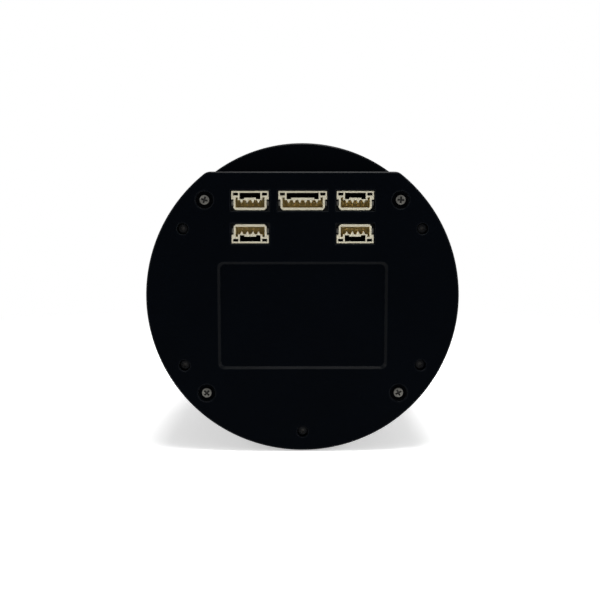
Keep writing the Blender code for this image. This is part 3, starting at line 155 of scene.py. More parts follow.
def buildFloor():
    bm = bmesh.new()
    bmesh.ops.create_grid(bm, x_segments=1, y_segments=1, size=studio["floorSize"] / 2)
    floorHeight = cadBounds[0][2] - studio["floorDrop"]
    bmesh.ops.translate(bm, verts=bm.verts, vec=(0, 0, floorHeight))
    mesh = bpy.data.meshes.new("floor")
    bm.to_mesh(mesh)
    bm.free()
    floor = bpy.data.objects.new("floor", mesh)
    scene.collection.objects.link(floor)
    paint = bpy.data.materials.new("floorPaint")
    paint.use_nodes = True
    tree = paint.node_tree
    tree.nodes.clear()
    matt = node(tree, "BsdfDiffuse", {"Color": (*studio["floorColour"], 1)})
    lift = node(tree, "Emission", {"Color": white, "Strength": studio["floorLift"]})
    lifted = node(tree, "AddShader", {0: matt.outputs[0], 1: lift.outputs[0]})
    middle = (0, (cadBounds[0][1] + cadBounds[1][1]) / 2, floorHeight)
    place = node(tree, "TexCoord").outputs["Object"]
    away = node(tree, "VectorMath", {0: place, 1: middle}, operation="DISTANCE")
    near, far = studio["shadowReach"]
    reach = {"Value": away.outputs["Value"], "From Min": near, "From Max": far}
    fade = node(tree, "MapRange", reach, interpolation_type="SMOOTHSTEP")
    plainWhite = node(tree, "Emission", {"Color": white})
    ends = {0: fade.outputs["Result"], 1: lifted.outputs[0], 2: plainWhite.outputs[0]}
    mix = seenAs(tree, matt, node(tree, "MixShader", ends))
    node(tree, "OutputMaterial", {"Surface": mix.outputs[0]})
    mesh.materials.append(paint)


def placeLamps():
    for name, place, size, watts in studio["lamps"]:
        data = bpy.data.lights.new(name, "AREA")
        data.shape = "DISK"
        data.size = size
        data.energy = watts
        lamp = bpy.data.objects.new(name, data)
        lamp.location = place
        aim = Vector(studio["aim"]) - Vector(place)
        lamp.rotation_euler = aim.to_track_quat("-Z", "Y").to_euler()
        scene.collection.objects.link(lamp)


placeCamera()
buildWorld()
buildFloor()
placeLamps()
scene.view_settings.view_transform = "Standard"
print("camera, floor and lamps placed")


# shared surface effects


def startGroup(name, inputs, outputs=("Height",)):
    # a node group with number inputs, unless a value is a colour, and number outputs but "Colour"
    group = bpy.data.node_groups.new(name, "ShaderNodeTree")
    for label, value in inputs.items():
        kind = "NodeSocketColor" if isinstance(value, tuple) else "NodeSocketFloat"
        group.interface.new_socket(name=label, in_out="INPUT", socket_type=kind).default_value = value
    for label in outputs:
        kind = "NodeSocketColor" if label == "Colour" else "NodeSocketFloat"
        group.interface.new_socket(name=label, in_out="OUTPUT", socket_type=kind)
    given, out = group.nodes.new("NodeGroupInput"), group.nodes.new("NodeGroupOutput")
    place = node(group, "TexCoord").outputs["Object"]
    return group, given.outputs, out.inputs, place


def buildFineGrain():
    # blasted or moulded grain: two sizes of noise as one height
    group, given, out, place = startGroup("fineGrain", {"Grains": 4000, "Coarse Share": 0.3})
    grains = given["Grains"]
    fine = node(group, "TexNoise", {"Vector": place, "Scale": grains, "Detail": 2, "Roughness": 0.6})
    wide = node(group, "Math", {0: grains, 1: 0.18}, operation="MULTIPLY")
    coarse = node(group, "TexNoise", {"Vector": place, "Scale": wide.outputs[0], "Detail": 3})
    both = {"Factor": given["Coarse Share"], "A": fine.outputs["Fac"], "B": coarse.outputs["Fac"]}
    join(group, node(group, "Mix", both, data_type="FLOAT").outputs["Result"], out["Height"])
    return group


def buildToneDrift():
    # slow patches that lighten and darken a colour, and a mask of them
    grey = (0.5, 0.5, 0.5, 1)
    inputs = {"Colour": grey, "Patches": 60, "Amount": 0.1}
    group, given, out, place = startGroup("toneDrift", inputs, ("Colour", "Mask"))
    values = {"Vector": place, "Scale": given["Patches"], "Detail": 4, "Roughness": 0.55}
    noise = node(group, "TexNoise", values).outputs["Fac"]
    values = {"Value": noise, "From Min": 0.3, "From Max": 0.7, "To Min": -1, "To Max": 1}
    spread = node(group, "MapRange", values)
    scaled = node(group, "Math", {0: spread.outputs["Result"], 1: given["Amount"]}, operation="MULTIPLY")
    factor = node(group, "Math", {0: scaled.outputs[0], 1: 1}, operation="ADD")
    tint = node(group, "VectorMath", {0: given["Colour"], "Scale": factor.outputs[0]}, operation="SCALE")
    join(group, tint.outputs[0], out["Colour"])
    join(group, noise, out["Mask"])
    return group


def buildLatheLines():
    # turned lines round the optical axis: rings on a face, hoops on a barrel
    group, given, out, place = startGroup("latheLines", {"Lines": 3000, "Waver": 0.02})
    x, y, z = node(group, "SeparateXYZ", {0: place}).outputs[:3]
    across = node(group, "CombineXYZ", {"X": x, "Z": z}).outputs[0]
    radius = node(group, "VectorMath", {0: across}, operation="LENGTH").outputs["Value"]
    drift = node(group, "VectorMath", {0: across, "Scale": given["Waver"]}, operation="SCALE")
    ringed = node(group, "CombineXYZ", {"X": radius, "Y": y})
    total = node(group, "VectorMath", {0: ringed.outputs[0], 1: drift.outputs[0]}, operation="ADD")
    values = {"Vector": total.outputs[0], "Scale": given["Lines"], "Detail": 3, "Roughness": 0.7}
    join(group, node(group, "TexNoise", values).outputs["Fac"], out["Height"])
    return group


def buildDrawnLines():
    # long fine strokes along X, as on drawn, sawn or rolled metal
    group, given, out, place = startGroup("drawnLines", {"Strokes": 6000, "Stretch": 0.03})
    squeeze = node(group, "CombineXYZ", {"X": given["Stretch"], "Y": 1, "Z": 1})
    stretched = node(group, "VectorMath", {0: place, 1: squeeze.outputs[0]}, operation="MULTIPLY")
    values = {"Vector": stretched.outputs[0], "Scale": given["Strokes"], "Detail": 3, "Roughness": 0.65}
    join(group, node(group, "TexNoise", values).outputs["Fac"], out["Height"])
    return group


def buildBoardTracks():
    # copper tracks and vias under solder mask, as two masks
    group, given, out, place = startGroup("boardTracks", {"Tracks": 420}, ("Tracks", "Vias"))
    flat = node(group, "VectorMath", {0: place, 1: (1, 0, 1)}, operation="MULTIPLY")
    values = {"Vector": flat.outputs[0], "Angle": quarter}
    turned = node(group, "VectorRotate", values, rotation_type="X_AXIS").outputs[0]
    values = {"Mortar Size": 0.035, "Brick Width": 0.9, "Row Height": 0.22}
    bricks = node(group, "TexBrick", {"Vector": turned, "Scale": given["Tracks"], **values})
    spots = {"Vector": turned, "Scale": given["Tracks"]}
    spots = node(group, "TexVoronoi", spots, feature="F1", distance="CHEBYCHEV")
    small = node(group, "Math", {0: spots.outputs["Distance"], 1: 0.12}, operation="LESS_THAN")
    join(group, bricks.outputs["Fac"], out["Tracks"])
    join(group, small.outputs[0], out["Vias"])
    return group


def buildEdgeWearAndHighlight():
    # a mask of the outer and inner edges, broken up by noise, that lightens them as edge wear and as a
    # painted highlight along the edges
    group, given, out, place = startGroup("edgeWearAndHighlight", {"Reach": 0.0003, "Gain": 4}, ("Mask",))
    rounded = node(group, "Bevel", {"Radius": given["Reach"]}, samples=6)
    surface = node(group, "NewGeometry")
    normals = {0: rounded.outputs[0], 1: surface.outputs["Normal"]}
    along = node(group, "VectorMath", normals, operation="DOT_PRODUCT")
    bent = node(group, "Math", {0: 1, 1: along.outputs["Value"]}, operation="SUBTRACT")
    gained = {0: bent.outputs[0], 1: given["Gain"]}
    gained = node(group, "Math", gained, operation="MULTIPLY", use_clamp=True)
    broken = node(group, "TexNoise", {"Vector": place, "Scale": 900, "Detail": 3}).outputs["Fac"]
    values = {"Value": broken, "From Min": 0.35, "From Max": 0.6, "To Min": 0.35, "To Max": 1}
    share = node(group, "MapRange", values)
    mask = {0: gained.outputs[0], 1: share.outputs["Result"]}
    mask = node(group, "Math", mask, operation="MULTIPLY", use_clamp=True)
    join(group, mask.outputs[0], out["Mask"])
    return group


fineGrain = buildFineGrain()
edgeWearAndHighlight = buildEdgeWearAndHighlight()
toneDrift = buildToneDrift()
latheLines = buildLatheLines()
drawnLines = buildDrawnLines()
boardTracks = buildBoardTracks()



def startFinish(name, colour, rough, metal=0.0, specular=0.5, patches=60, drift=0.1, roughDrift=0.08):
    # a Principled shader whose colour and roughness drift in slow patches
    made = bpy.data.materials.new(name)
    made.use_nodes = True
    tree = made.node_tree
    shader = tree.nodes["Principled BSDF"]
    shader.inputs["Metallic"].default_value = metal
    shader.inputs["Specular IOR Level"].default_value = specular
    values = {"Colour": (*colour, 1), "Patches": patches, "Amount": drift}
    tone = node(tree, "Group", values, node_tree=toneDrift).outputs
    join(tree, tone["Colour"], shader.inputs["Base Color"])
    values = {"Value": tone["Mask"], "To Min": rough - roughDrift, "To Max": rough + roughDrift}
    join(tree, node(tree, "MapRange", values).outputs["Result"], shader.inputs["Roughness"])
    return made, tree, shader


def addRelief(tree, shader, group, depth, values):
    # raises the shader's normal by a group's height, depth in metres
    height = node(tree, "Group", values, node_tree=group).outputs["Height"]
    bump = node(tree, "Bump", {"Height": height, "Distance": depth, "Strength": 1})
    join(tree, bump.outputs[0], shader.inputs["Normal"])


def overBase(tree, shader, mask, colour):
    # mixes a colour over the base colour where the mask is bright
    base = shader.inputs["Base Color"]
    values = {"Factor": mask, 6: base.links[0].from_socket, 7: (*colour, 1)}
    join(tree, node(tree, "Mix", values, data_type="RGBA").outputs[2], base)


def addEdgeWearAndHighlight(tree, shader, colour, reach, gain):
    # lightens the edges towards this colour, as edge wear and as a painted highlight
    wear = node(tree, "Group", {"Reach": reach, "Gain": gain}, node_tree=edgeWearAndHighlight)
    overBase(tree, shader, wear.outputs["Mask"], colour)


finishes = {
    "blackAnodised": {"colour": (0.0006, 0.0011, 0.002), "rough": 0.4, "specular": 0.0105},
    "milledEdge": {"colour": (0.0024, 0.0029, 0.0038), "rough": 0.28, "specular": 0.034},
    "creamNylon": {"colour": (0.45, 0.42, 0.32), "rough": 0.45, "specular": 0.3},
    # the contact cavity's walls: an olive-brown nylon colour that is also painted shade deep in the cavity
    "shadedCavityNylon": {"colour": (0.55, 0.44, 0.19), "rough": 0.6, "specular": 0.2},
    "latchShadow": {"colour": (0.004, 0.003, 0.002), "rough": 0.8, "specular": 0.05},
    "platedSteel": {"colour": (0.42, 0.41, 0.39), "rough": 0.3, "metal": 1.0},
    "screwSteel": {
        "colour": (0.088, 0.086, 0.078), "rough": 0.36, "metal": 1.0, "drift": 0.25, "patches": 900
    },
    "driveShadow": {"colour": (0.012, 0.011, 0.01), "rough": 0.5, "specular": 0.2},
    "flockedBlack": {"colour": (0.0012, 0.0012, 0.0013), "rough": 1.0, "specular": 0.0},
    "blackOxide": {"colour": (0.003, 0.0035, 0.0045), "rough": 0.38, "specular": 0.06},
    "brass": {"colour": (0.6, 0.42, 0.16), "rough": 0.3, "metal": 1.0},
    "fanPlastic": {"colour": (0.012, 0.012, 0.013), "rough": 0.5, "specular": 0.3},
    "bareAluminium": {"colour": (0.6, 0.61, 0.62), "rough": 0.35, "metal": 1.0},
    "whiteCeramic": {"colour": (0.78, 0.78, 0.76), "rough": 0.5},
    "sensorCeramic": {"colour": (0.045, 0.038, 0.042), "rough": 0.4},
    "tinPlate": {"colour": (0.62, 0.61, 0.58), "rough": 0.34, "metal": 1.0},
    "capacitorTan": {"colour": (0.3, 0.2, 0.12), "rough": 0.45},
    "chipBlack": {"colour": (0.014, 0.014, 0.016), "rough": 0.5, "specular": 0.3},
    "bondGold": {"colour": (0.75, 0.52, 0.2), "rough": 0.28, "metal": 1.0},
    "blackRubber": {"colour": (0.012, 0.012, 0.012), "rough": 0.65},
    "amberFilm": {"colour": (0.42, 0.19, 0.03), "rough": 0.3},
    "redWire": {"colour": (0.48, 0.02, 0.02), "rough": 0.45},
    "blackWire": {"colour": (0.01, 0.01, 0.01), "rough": 0.45},
}
grain = {
    # depth in millimetres, grains to the metre, coarse share
    "blackAnodised": (0.006, 5200, 0.35),
    "creamNylon": (0.006, 2600, 0.5),
    "shadedCavityNylon": (0.01, 2600, 0.5),
    "latchShadow": (0.01, 2600, 0.5),
    "milledEdge": (0.004, 5200, 0.35),
    "screwSteel": (0.004, 5000, 0.5),
    "driveShadow": (0.006, 5000, 0.5),
    "flockedBlack": (0.004, 5200, 0.35),
    "blackOxide": (0.004, 6000, 0.2),
    "fanPlastic": (0.01, 2200, 0.4),
    "whiteCeramic": (0.005, 4500, 0.2),
    "sensorCeramic": (0.004, 5000, 0.2),
    "tinPlate": (0.004, 5000, 0.4),
    "capacitorTan": (0.006, 5000, 0.3),
    "chipBlack": (0.006, 4500, 0.3),
    "bondGold": (0.003, 6000, 0.3),
    "blackRubber": (0.012, 2400, 0.5),
    "redWire": (0.01, 1500, 0.6),
    "blackWire": (0.01, 1500, 0.6),
}
lined = {
    "platedSteel": (latheLines, 0.002 * mm, {"Lines": 5000, "Waver": 0.3}),
    "brass": (drawnLines, 0.003 * mm, {"Strokes": 5000, "Stretch": 0.05}),
    "bareAluminium": (drawnLines, 0.006 * mm, {"Strokes": 3500, "Stretch": 0.03}),
    "amberFilm": (drawnLines, 0.004 * mm, {"Strokes": 900, "Stretch": 0.02}),
}
wornAndHighlit = {
    # worn colour that is also a painted edge highlight, reach from the edge, gain
    "blackAnodised": ((0.022, 0.024, 0.027), 0.3 * mm, 4.0),
    "blackOxide": ((0.03, 0.03, 0.032), 0.1 * mm, 3.0),
    "fanPlastic": ((0.03, 0.03, 0.032), 0.2 * mm, 2.0),
}


def buildFinish(name):
    made, tree, shader = startFinish(name, **finishes[name])
    if name in lined:
        addRelief(tree, shader, *lined[name])
    else:
        depth, grains, coarse = grain[name]
        addRelief(tree, shader, fineGrain, depth * mm, {"Grains": grains, "Coarse Share": coarse})
    if name in wornAndHighlit:
        addEdgeWearAndHighlight(tree, shader, *wornAndHighlit[name])
    return made


def buildBoard(name, mask, track):
    # solder mask over copper tracks, with gilt vias
    made, tree, shader = startFinish(name, mask, 0.35, specular=0.3, drift=0.15)
    masks = node(tree, "Group", node_tree=boardTracks).outputs
    overBase(tree, shader, masks["Tracks"], track)
    overBase(tree, shader, masks["Vias"], (0.55, 0.45, 0.2))
    return made


def buildWoundCopper():
    # enamelled wire: fine hoops round the axis
    made, tree, shader = startFinish("woundCopper", (0.62, 0.26, 0.12), 0.3, metal=1.0)
    addRelief(tree, shader, latheLines, 0.05 * mm, {"Lines": 2600, "Waver": 0.0})
    return made


def buildBareCopper():
    made, tree, shader = startFinish("bareCopper", (0.68, 0.32, 0.19), 0.35, metal=1.0, drift=0.2)
    addRelief(tree, shader, drawnLines, 0.004 * mm, {"Strokes": 3000, "Stretch": 0.04})
    return made


def buildCoatedGlass(name, tint):
    # clear glass whose coating drifts a little in colour, and that lets lamp light through
    made = bpy.data.materials.new(name)
    made.use_nodes = True
    tree = made.node_tree
    shader = tree.nodes["Principled BSDF"]
    shader.inputs["Transmission Weight"].default_value = 1
    shader.inputs["IOR"].default_value = 1.17  # the coating takes most of the reflection away
    shader.inputs["Specular Tint"].default_value = (0.5, 0.95, 0.7, 1)
    shader.inputs["Roughness"].default_value = 0
    values = {"Colour": (*tint, 1), "Patches": 40, "Amount": 0.03}
    tone = node(tree, "Group", values, node_tree=toneDrift)
    join(tree, tone.outputs["Colour"], shader.inputs["Base Color"])
    clear = node(tree, "BsdfTransparent", {"Color": (*tint, 1)})
    shadow = node(tree, "LightPath").outputs["Is Shadow Ray"]
    mix = node(tree, "MixShader", {0: shadow, 1: shader.outputs[0], 2: clear.outputs[0]})
    join(tree, mix.outputs[0], tree.nodes["Material Output"].inputs["Surface"])
    return made


def buildTurnedAnodised():
    # the same anodising over lathe lines, for the turned rings and faces of the telescope side
    made, tree, shader = startFinish("turnedAnodised", (0.0016, 0.0023, 0.0036), 0.34, specular=0.05)
    addRelief(tree, shader, latheLines, 0.006 * mm, {"Lines": 2600, "Waver": 0.01})
    # edge wear with a painted highlight along the edges
    addEdgeWearAndHighlight(tree, shader, *wornAndHighlit["blackAnodised"])
    return made


def buildSensorDie():
    # polished silicon with a fine grid of pixels over a violet filter
    made, tree, shader = startFinish("sensorDie", (0.022, 0.012, 0.034), 0.18, metal=0.55, drift=0.12)
    shader.inputs["Coat Weight"].default_value = 0.6
    shader.inputs["Coat Roughness"].default_value = 0.08
    values = {"Vector": node(tree, "TexCoord").outputs["Object"], "Angle": quarter}
    flat = node(tree, "VectorRotate", values, rotation_type="X_AXIS").outputs[0]
    values = {"Vector": flat, "Scale": 9000, "Mortar Size": 0.12, "Brick Width": 1, "Row Height": 1}
    pixels = node(tree, "TexBrick", values, offset=0)
    overBase(tree, shader, pixels.outputs["Fac"], (0.05, 0.05, 0.06))
    return made


material = {name: buildFinish(name) for name in finishes}
material["boardGreen"] = buildBoard("boardGreen", (0.012, 0.07, 0.03), (0.03, 0.16, 0.06))
# black solder mask for the io board, which is also painted shade where it shows through the gaps beside the
# header necks
material["boardBlack"] = buildBoard("boardBlack", (0.004, 0.0045, 0.005), (0.012, 0.012, 0.012))
material["woundCopper"] = buildWoundCopper()
material["bareCopper"] = buildBareCopper()
material["windowGlass"] = buildCoatedGlass("windowGlass", (0.93, 0.98, 0.95))
material["lidGlass"] = buildCoatedGlass("lidGlass", (0.95, 0.97, 0.98))
material["turnedAnodised"] = buildTurnedAnodised()
material["sensorDie"] = buildSensorDie()
print("finishes mixed:", len(material))


# shaping tools


def arc(centre, radius, start, end, steps):
    x, z = centre
    turns = [start + (end - start) * i / steps for i in range(steps + 1)]
    return [(x + radius * math.cos(t), z + radius * math.sin(t)) for t in turns]


def circle(centre, radius, sides):
    return arc(centre, radius, 0, turn, sides)[:-1]


def roundedBox(centre, width, height, radius, steps=8):
    # an (x, z) outline with round corners
    x, z = centre
    w, h = width / 2 - radius, height / 2 - radius
    points = []
    for i, (right, up) in enumerate(((w, h), (-w, h), (-w, -h), (w, -h))):
        points += arc((x + right, z + up), radius, i * quarter, (i + 1) * quarter, steps)
    return points


def outlineFace(bm, outline, y):
    return bm.faces.new([bm.verts.new((x, y, z)) for x, z in outline])


def extrudeFace(bm, face, vec):
    moved = bmesh.ops.extrude_face_region(bm, geom=[face])["geom"]
    ends = [item for item in moved if isinstance(item, bmesh.types.BMVert)]
    bmesh.ops.translate(bm, verts=ends, vec=vec)
    return next(item for item in moved if isinstance(item, bmesh.types.BMFace)), ends


def pushFace(bm, face, vec, scale=None, centre=(0, 0, 0)):
    # extrudes a face without leaving it behind, and scales its new end about a centre
    end, verts = extrudeFace(bm, face, vec)
    if scale:
        bmesh.ops.scale(bm, verts=verts, vec=scale, space=Matrix.Translation(-Vector(centre)))
    bmesh.ops.delete(bm, geom=[face], context="FACES_ONLY")
    return end


def addBlock(bm, outline, rear, front):
    # a solid between two y values
    extrudeFace(bm, outlineFace(bm, outline, rear), (0, front - rear, 0))


def addPocket(bm, outline, mouth, floor, flare=0.0, spread=None):
    # a cutter that opens a face at y = mouth, with a rim flared over this depth and spread
    spread = flare if spread is None else spread
    inward = 1 if floor > mouth else -1
    face, _ = extrudeFace(bm, outlineFace(bm, outline, floor), (0, mouth + inward * flare - floor, 0))
    if flare:
        xs, zs = zip(*outline)
        width, height = max(xs) - min(xs), max(zs) - min(zs)
        centre = ((max(xs) + min(xs)) / 2, 0, (max(zs) + min(zs)) / 2)
        wider = (1 + 2 * spread / width, 1, 1 + 2 * spread / height)
        face = pushFace(bm, face, (0, -inward * flare, 0), wider, centre)
    pushFace(bm, face, (0, -inward * mm, 0))


def softenRim(bm, y, width, steps):
    # bevels the edges that lie at this y
    bmesh.ops.bevel(
        bm,
        geom=[edge for edge in bm.edges if all(abs(v.co.y - y) < 1e-7 for v in edge.verts)],
        offset=width,
        affect="EDGES",
        segments=steps,
        profile=0.5,
        material=-1,
    )


def solid(name, bm, finish):
    bmesh.ops.remove_doubles(bm, verts=bm.verts, dist=1e-7)
    bmesh.ops.recalc_face_normals(bm, faces=bm.faces)
    mesh = bpy.data.meshes.new(name)
    bm.to_mesh(mesh)
    bm.free()
    mesh.materials.append(material[finish])
    made = bpy.data.objects.new(name, mesh)
    scene.collection.objects.link(made)
    return made


def turnedSolid(name, profile, sides, finish, ring=False):
    # spins (radius, y) points about the optical axis; a ring's last point joins its first
    bm = bmesh.new()
    corners = [bm.verts.new((r, y, 0)) for r, y in profile]
    pairs = list(zip(corners, corners[1:]))
    if ring:
        pairs.append((corners[-1], corners[0]))
    geom = corners + [bm.edges.new(pair) for pair in pairs]
    centre, axis = (0, 0, 0), (0, 1, 0)
    bmesh.ops.spin(bm, geom=geom, cent=centre, axis=axis, angle=turn, steps=sides, use_merge=True)
    return solid(name, bm, finish)


def blockSolid(name, outline, rear, front, finish, *rims):
    # each rim to soften is its y, width and steps
    bm = bmesh.new()
    addBlock(bm, outline, rear, front)
    bmesh.ops.recalc_face_normals(bm, faces=bm.faces)
    for rim in rims:
        softenRim(bm, *rim)
    return solid(name, bm, finish)


def carve(target, *cutters, operation="DIFFERENCE", crossing=False):
    # applies each cutter in turn and removes it; its faces bring its own finish
    for cutter in cutters:
        change = target.modifiers.new("carve", "BOOLEAN")
        change.operation = operation
        change.solver = "EXACT"
        change.material_mode = "TRANSFER"
        change.use_self = crossing
        change.object = cutter
    graph = bpy.context.evaluated_depsgraph_get()
    shaped = bpy.data.meshes.new_from_object(target.evaluated_get(graph))
    target.modifiers.clear()
    target.data = shaped
    for cutter in cutters:
        bpy.data.objects.remove(cutter)


def cutterOf(outlines, mouth, floor, flare=0.0, finish="blackAnodised", spread=None):
    bm = bmesh.new()
    for outline in outlines:
        addPocket(bm, outline, mouth, floor, flare, spread)
    return solid("cutter", bm, finish)


def holes(places, radius, sides, mouth, floor, flare=0.0):
    return cutterOf([circle(place, radius, sides) for place in places], mouth, floor, flare)


def paintFaces(piece, finish, chosen):
    piece.data.materials.append(material[finish])
    fresh = len(piece.data.materials) - 1
    for face in piece.data.polygons:
        if chosen(face):
            face.material_index = fresh


def isChamfer(face):
    # the sloped faces round the optical axis keep a smoother, glossier finish from the cutter
    return 0.3 < abs(face.normal.y) < 0.95


def finishPiece(piece, body, slot, *replaced, sharp=28):
    mesh = piece.data
    mesh.name = piece.name
    mesh.shade_smooth()
    mesh.set_sharp_from_angle(angle=math.radians(sharp))
    even = piece.modifiers.new("evenNormals", "WEIGHTED_NORMAL")
    even.keep_sharp = True
    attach(piece, body)
    if replaced:
        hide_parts(*replaced)
    return piece


def boxOf(name):
    low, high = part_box(name)
    return low, high, (low + high) / 2


# rear cover

coverStyle = {
    "fillet": 2.5 * mm,
    "wall": 1.8 * mm,
    "plate": 2.0 * mm,
    "rim": 0.26 * mm,
    "sides": 200,
    "frontEdge": 0.25 * mm,
    "flare": 0.12 * mm,  # of the header windows and the sunk wells
    "windowCorner": 0.15 * mm,
    "labelSize": (36.95 * mm, 23.2 * mm),  # of the floor
    "labelCorner": 1.2 * mm,
    "labelMiddle": -4.1 * mm,
    "labelDepth": 0.42 * mm,
    "labelSlope": 0.5 * mm,  # how far the sloped rim reaches out from the floor
    "windowGap": 0.2 * mm,
    "wellRadius": 1.95 * mm,
    "wellDepth": 1.1 * mm,
    "wellFlare": 0.15 * mm,
    "sunkRadius": 1.25 * mm,
    "sunkDepth": 1.9 * mm,
    "screwHole": 1.0 * mm,
    "sunkHole": 0.9 * mm,
    "bossRadius": 1.7 * mm,
    "deepBossRadius": 2.7 * mm,
    "bossTop": 4.05 * mm,
}
headerNodes = (
    "header_upper_left",
    "header_upper_middle",
    "header_upper_right",
    "header_lower_left",
    "header_lower_right",
)
coverScrewNodes = [f"cover_screw_{i}" for i in (1, 2, 3, 4)]
bodyScrewNodes = [f"body_screw_{i}" for i in (1, 2, 3, 4, 5)]


def placesOf(names):
    middles = [boxOf(name)[2] for name in names]
    return [(middle.x, middle.z) for middle in middles]


def coverOutline(radius, chord, fillet, sides):
    # a circle with a flat top and rounded corners
    height = chord - fillet
    across = math.sqrt((radius - fillet) ** 2 - height**2)
    corner = math.atan2(height, across)
    points = arc((0, 0), radius, math.pi - corner, turn + corner, sides)
    points += arc((across, height), fillet, corner, quarter, 12)[1:]
    points += arc((-across, height), fillet, quarter, math.pi - corner, 12)[:-1]
    return points


def buildRearCover():
    style = coverStyle
    low, high, _ = boxOf("rear_cover")
    radius, chord = -low.z, high.z
    outline = coverOutline(radius, chord, style["fillet"], style["sides"])
    rims = (low.y, style["rim"], 1), (high.y, style["frontEdge"], 2)
    cover = blockSolid("rearCover", outline, low.y, high.y, "blackAnodised", *rims)
    paintFaces(cover, "milledEdge", isChamfer)

    wall = style["wall"]
    inner = coverOutline(radius - wall, chord - wall, style["fillet"] - wall, style["sides"] // 2)
    plate = low.y + style["plate"]
    cavity = cutterOf([inner], high.y, plate)
    coverPlaces, bodyPlaces = placesOf(coverScrewNodes), placesOf(bodyScrewNodes)
    carve(
        cavity,
        holes(bodyPlaces, style["deepBossRadius"], 32, plate - mm, high.y + 3 * mm),
        holes(coverPlaces, style["bossRadius"], 32, plate - mm, low.y + style["bossTop"]),
    )

    windows = []
    for name in headerNodes:
        first, last, middle = boxOf(name)
        gap = 2 * style["windowGap"]
        size = (last.x - first.x + gap, last.z - first.z + gap)
        windows.append(roundedBox((middle.x, middle.z), *size, style["windowCorner"], 3))
    label = roundedBox((0, style["labelMiddle"]), *style["labelSize"], style["labelCorner"], 12)
    depth, least = style["labelDepth"], 0.01 * mm
    slope = low.y, low.y + depth - least, depth - 2 * least, "milledEdge", style["labelSlope"]
    wellFloor, sunkFloor = low.y + style["wellDepth"], low.y + style["sunkDepth"]
    carve(
        cover,
        cavity,
        cutterOf(windows, low.y, plate + mm, style["flare"]),
        cutterOf([label], *slope),
        cutterOf([label], low.y, low.y + depth),
        holes(coverPlaces, style["wellRadius"], 48, low.y, wellFloor, style["wellFlare"]),
        holes(coverPlaces, style["screwHole"], 32, low.y, low.y + 6 * mm),
        holes(bodyPlaces, style["sunkRadius"], 40, low.y, sunkFloor, style["flare"]),
        holes(bodyPlaces, style["sunkHole"], 32, low.y, high.y + mm),
    )
    finishPiece(cover, "camera", "black_anodised", "rear_cover")


buildRearCover()
print("rear cover built")


# headers

headerStyle = {
    "pitch": 1.25 * mm,
    "neck": 0.47 * mm,
    "neckHeight": 2.35 * mm,
    "chamfer": 0.5 * mm,
    "edge": 0.06 * mm,
    "wall": 0.44 * mm,
    "floorWall": 0.56 * mm,
    "cavityHeight": 2.25 * mm,
    "cavityDepth": 3.0 * mm,
    "armWidth": 0.5 * mm,
    "bridgeDrop": 0.58 * mm,  # from the top of the arms to the tooth wall
    "toothLength": 0.62 * mm,
    "toothWidth": 0.72 * mm,
    "rail": 0.4 * mm,
    "windowHeight": 1.4 * mm,
    "windowDepth": 3.0 * mm,
    "windowEnd": 1.82 * mm,
    "stepHeight": 0.32 * mm,
    "stepEnd": 1.0 * mm,
    "slotSize": (1.15 * mm, 0.62 * mm),
    "slotEnd": 0.34 * mm,
    "slotDrop": 0.38 * mm,
    "slotDepth": 1.2 * mm,
    "pinSide": 0.3 * mm,
    "pinRise": 0.55 * mm,  # above the cavity's floor
    "pinStart": 1.1 * mm,  # below the open face
    "pinTaper": 0.08 * mm,
    "tabSize": (0.3 * mm, 1.0 * mm),
    "tabPlace": (0.2 * mm, 0.62 * mm),  # in from the end, and below the middle
    "tabStart": 0.6 * mm,
    "corner": 0.05 * mm,
}


def headerOutline(width, height):
    # latch side towards +Z, contact side narrower with cut corners
    style = headerStyle
    half, top = width / 2, height / 2
    neck, waist, cut = half - style["neck"], style["neckHeight"] - top, style["chamfer"]
    right = [(neck - cut, -top), (neck, cut - top), (neck, waist), (half, waist), (half, top)]
    return right + [(-x, z) for x, z in reversed(right)]


def contactOutline(width, height, ways):
    # the contact cavity, with a row of teeth hanging from its upper wall
    style = headerStyle
    half = width / 2 - style["neck"] - style["wall"]
    bottom = -height / 2 + style["floorWall"]
    top = bottom + style["cavityHeight"]
    bridge = top - style["bridgeDrop"]
    points = [(-half, bottom), (half, bottom), (half, top), (half - style["armWidth"], top)]
    points.append((half - style["armWidth"], bridge))
    for i in reversed(range(ways)):
        x = (i - (ways - 1) / 2) * style["pitch"]
        tooth = style["toothWidth"] / 2
        points += [(x + tooth, bridge), (x + 0.06 * mm, bridge - style["toothLength"])]
        points += [(x - 0.06 * mm, bridge - style["toothLength"]), (x - tooth, bridge)]
    points += [(style["armWidth"] - half, bridge), (style["armWidth"] - half, top), (-half, top)]
    return points


def latchOutline(width, height):
    style = headerStyle
    half = width / 2 - style["windowEnd"]
    top = height / 2 - style["rail"]
    low = top - style["windowHeight"]
    step = half - style["stepEnd"]
    raised = low + style["stepHeight"]
    left = [(-half, top), (-half, low), (-step, low), (-step, raised)]
    return left + [(-x, z) for x, z in reversed(left)]


def standAt(piece, node, flip):
    # turns a header shaped round the origin and sets it on its node, inside its mesh
    low, _, middle = boxOf(node)
    spin = Matrix.Rotation(math.pi, 4, "Y") if flip else Matrix.Identity(4)
    piece.data.transform(Matrix.Translation((middle.x, low.y, middle.z)) @ spin)


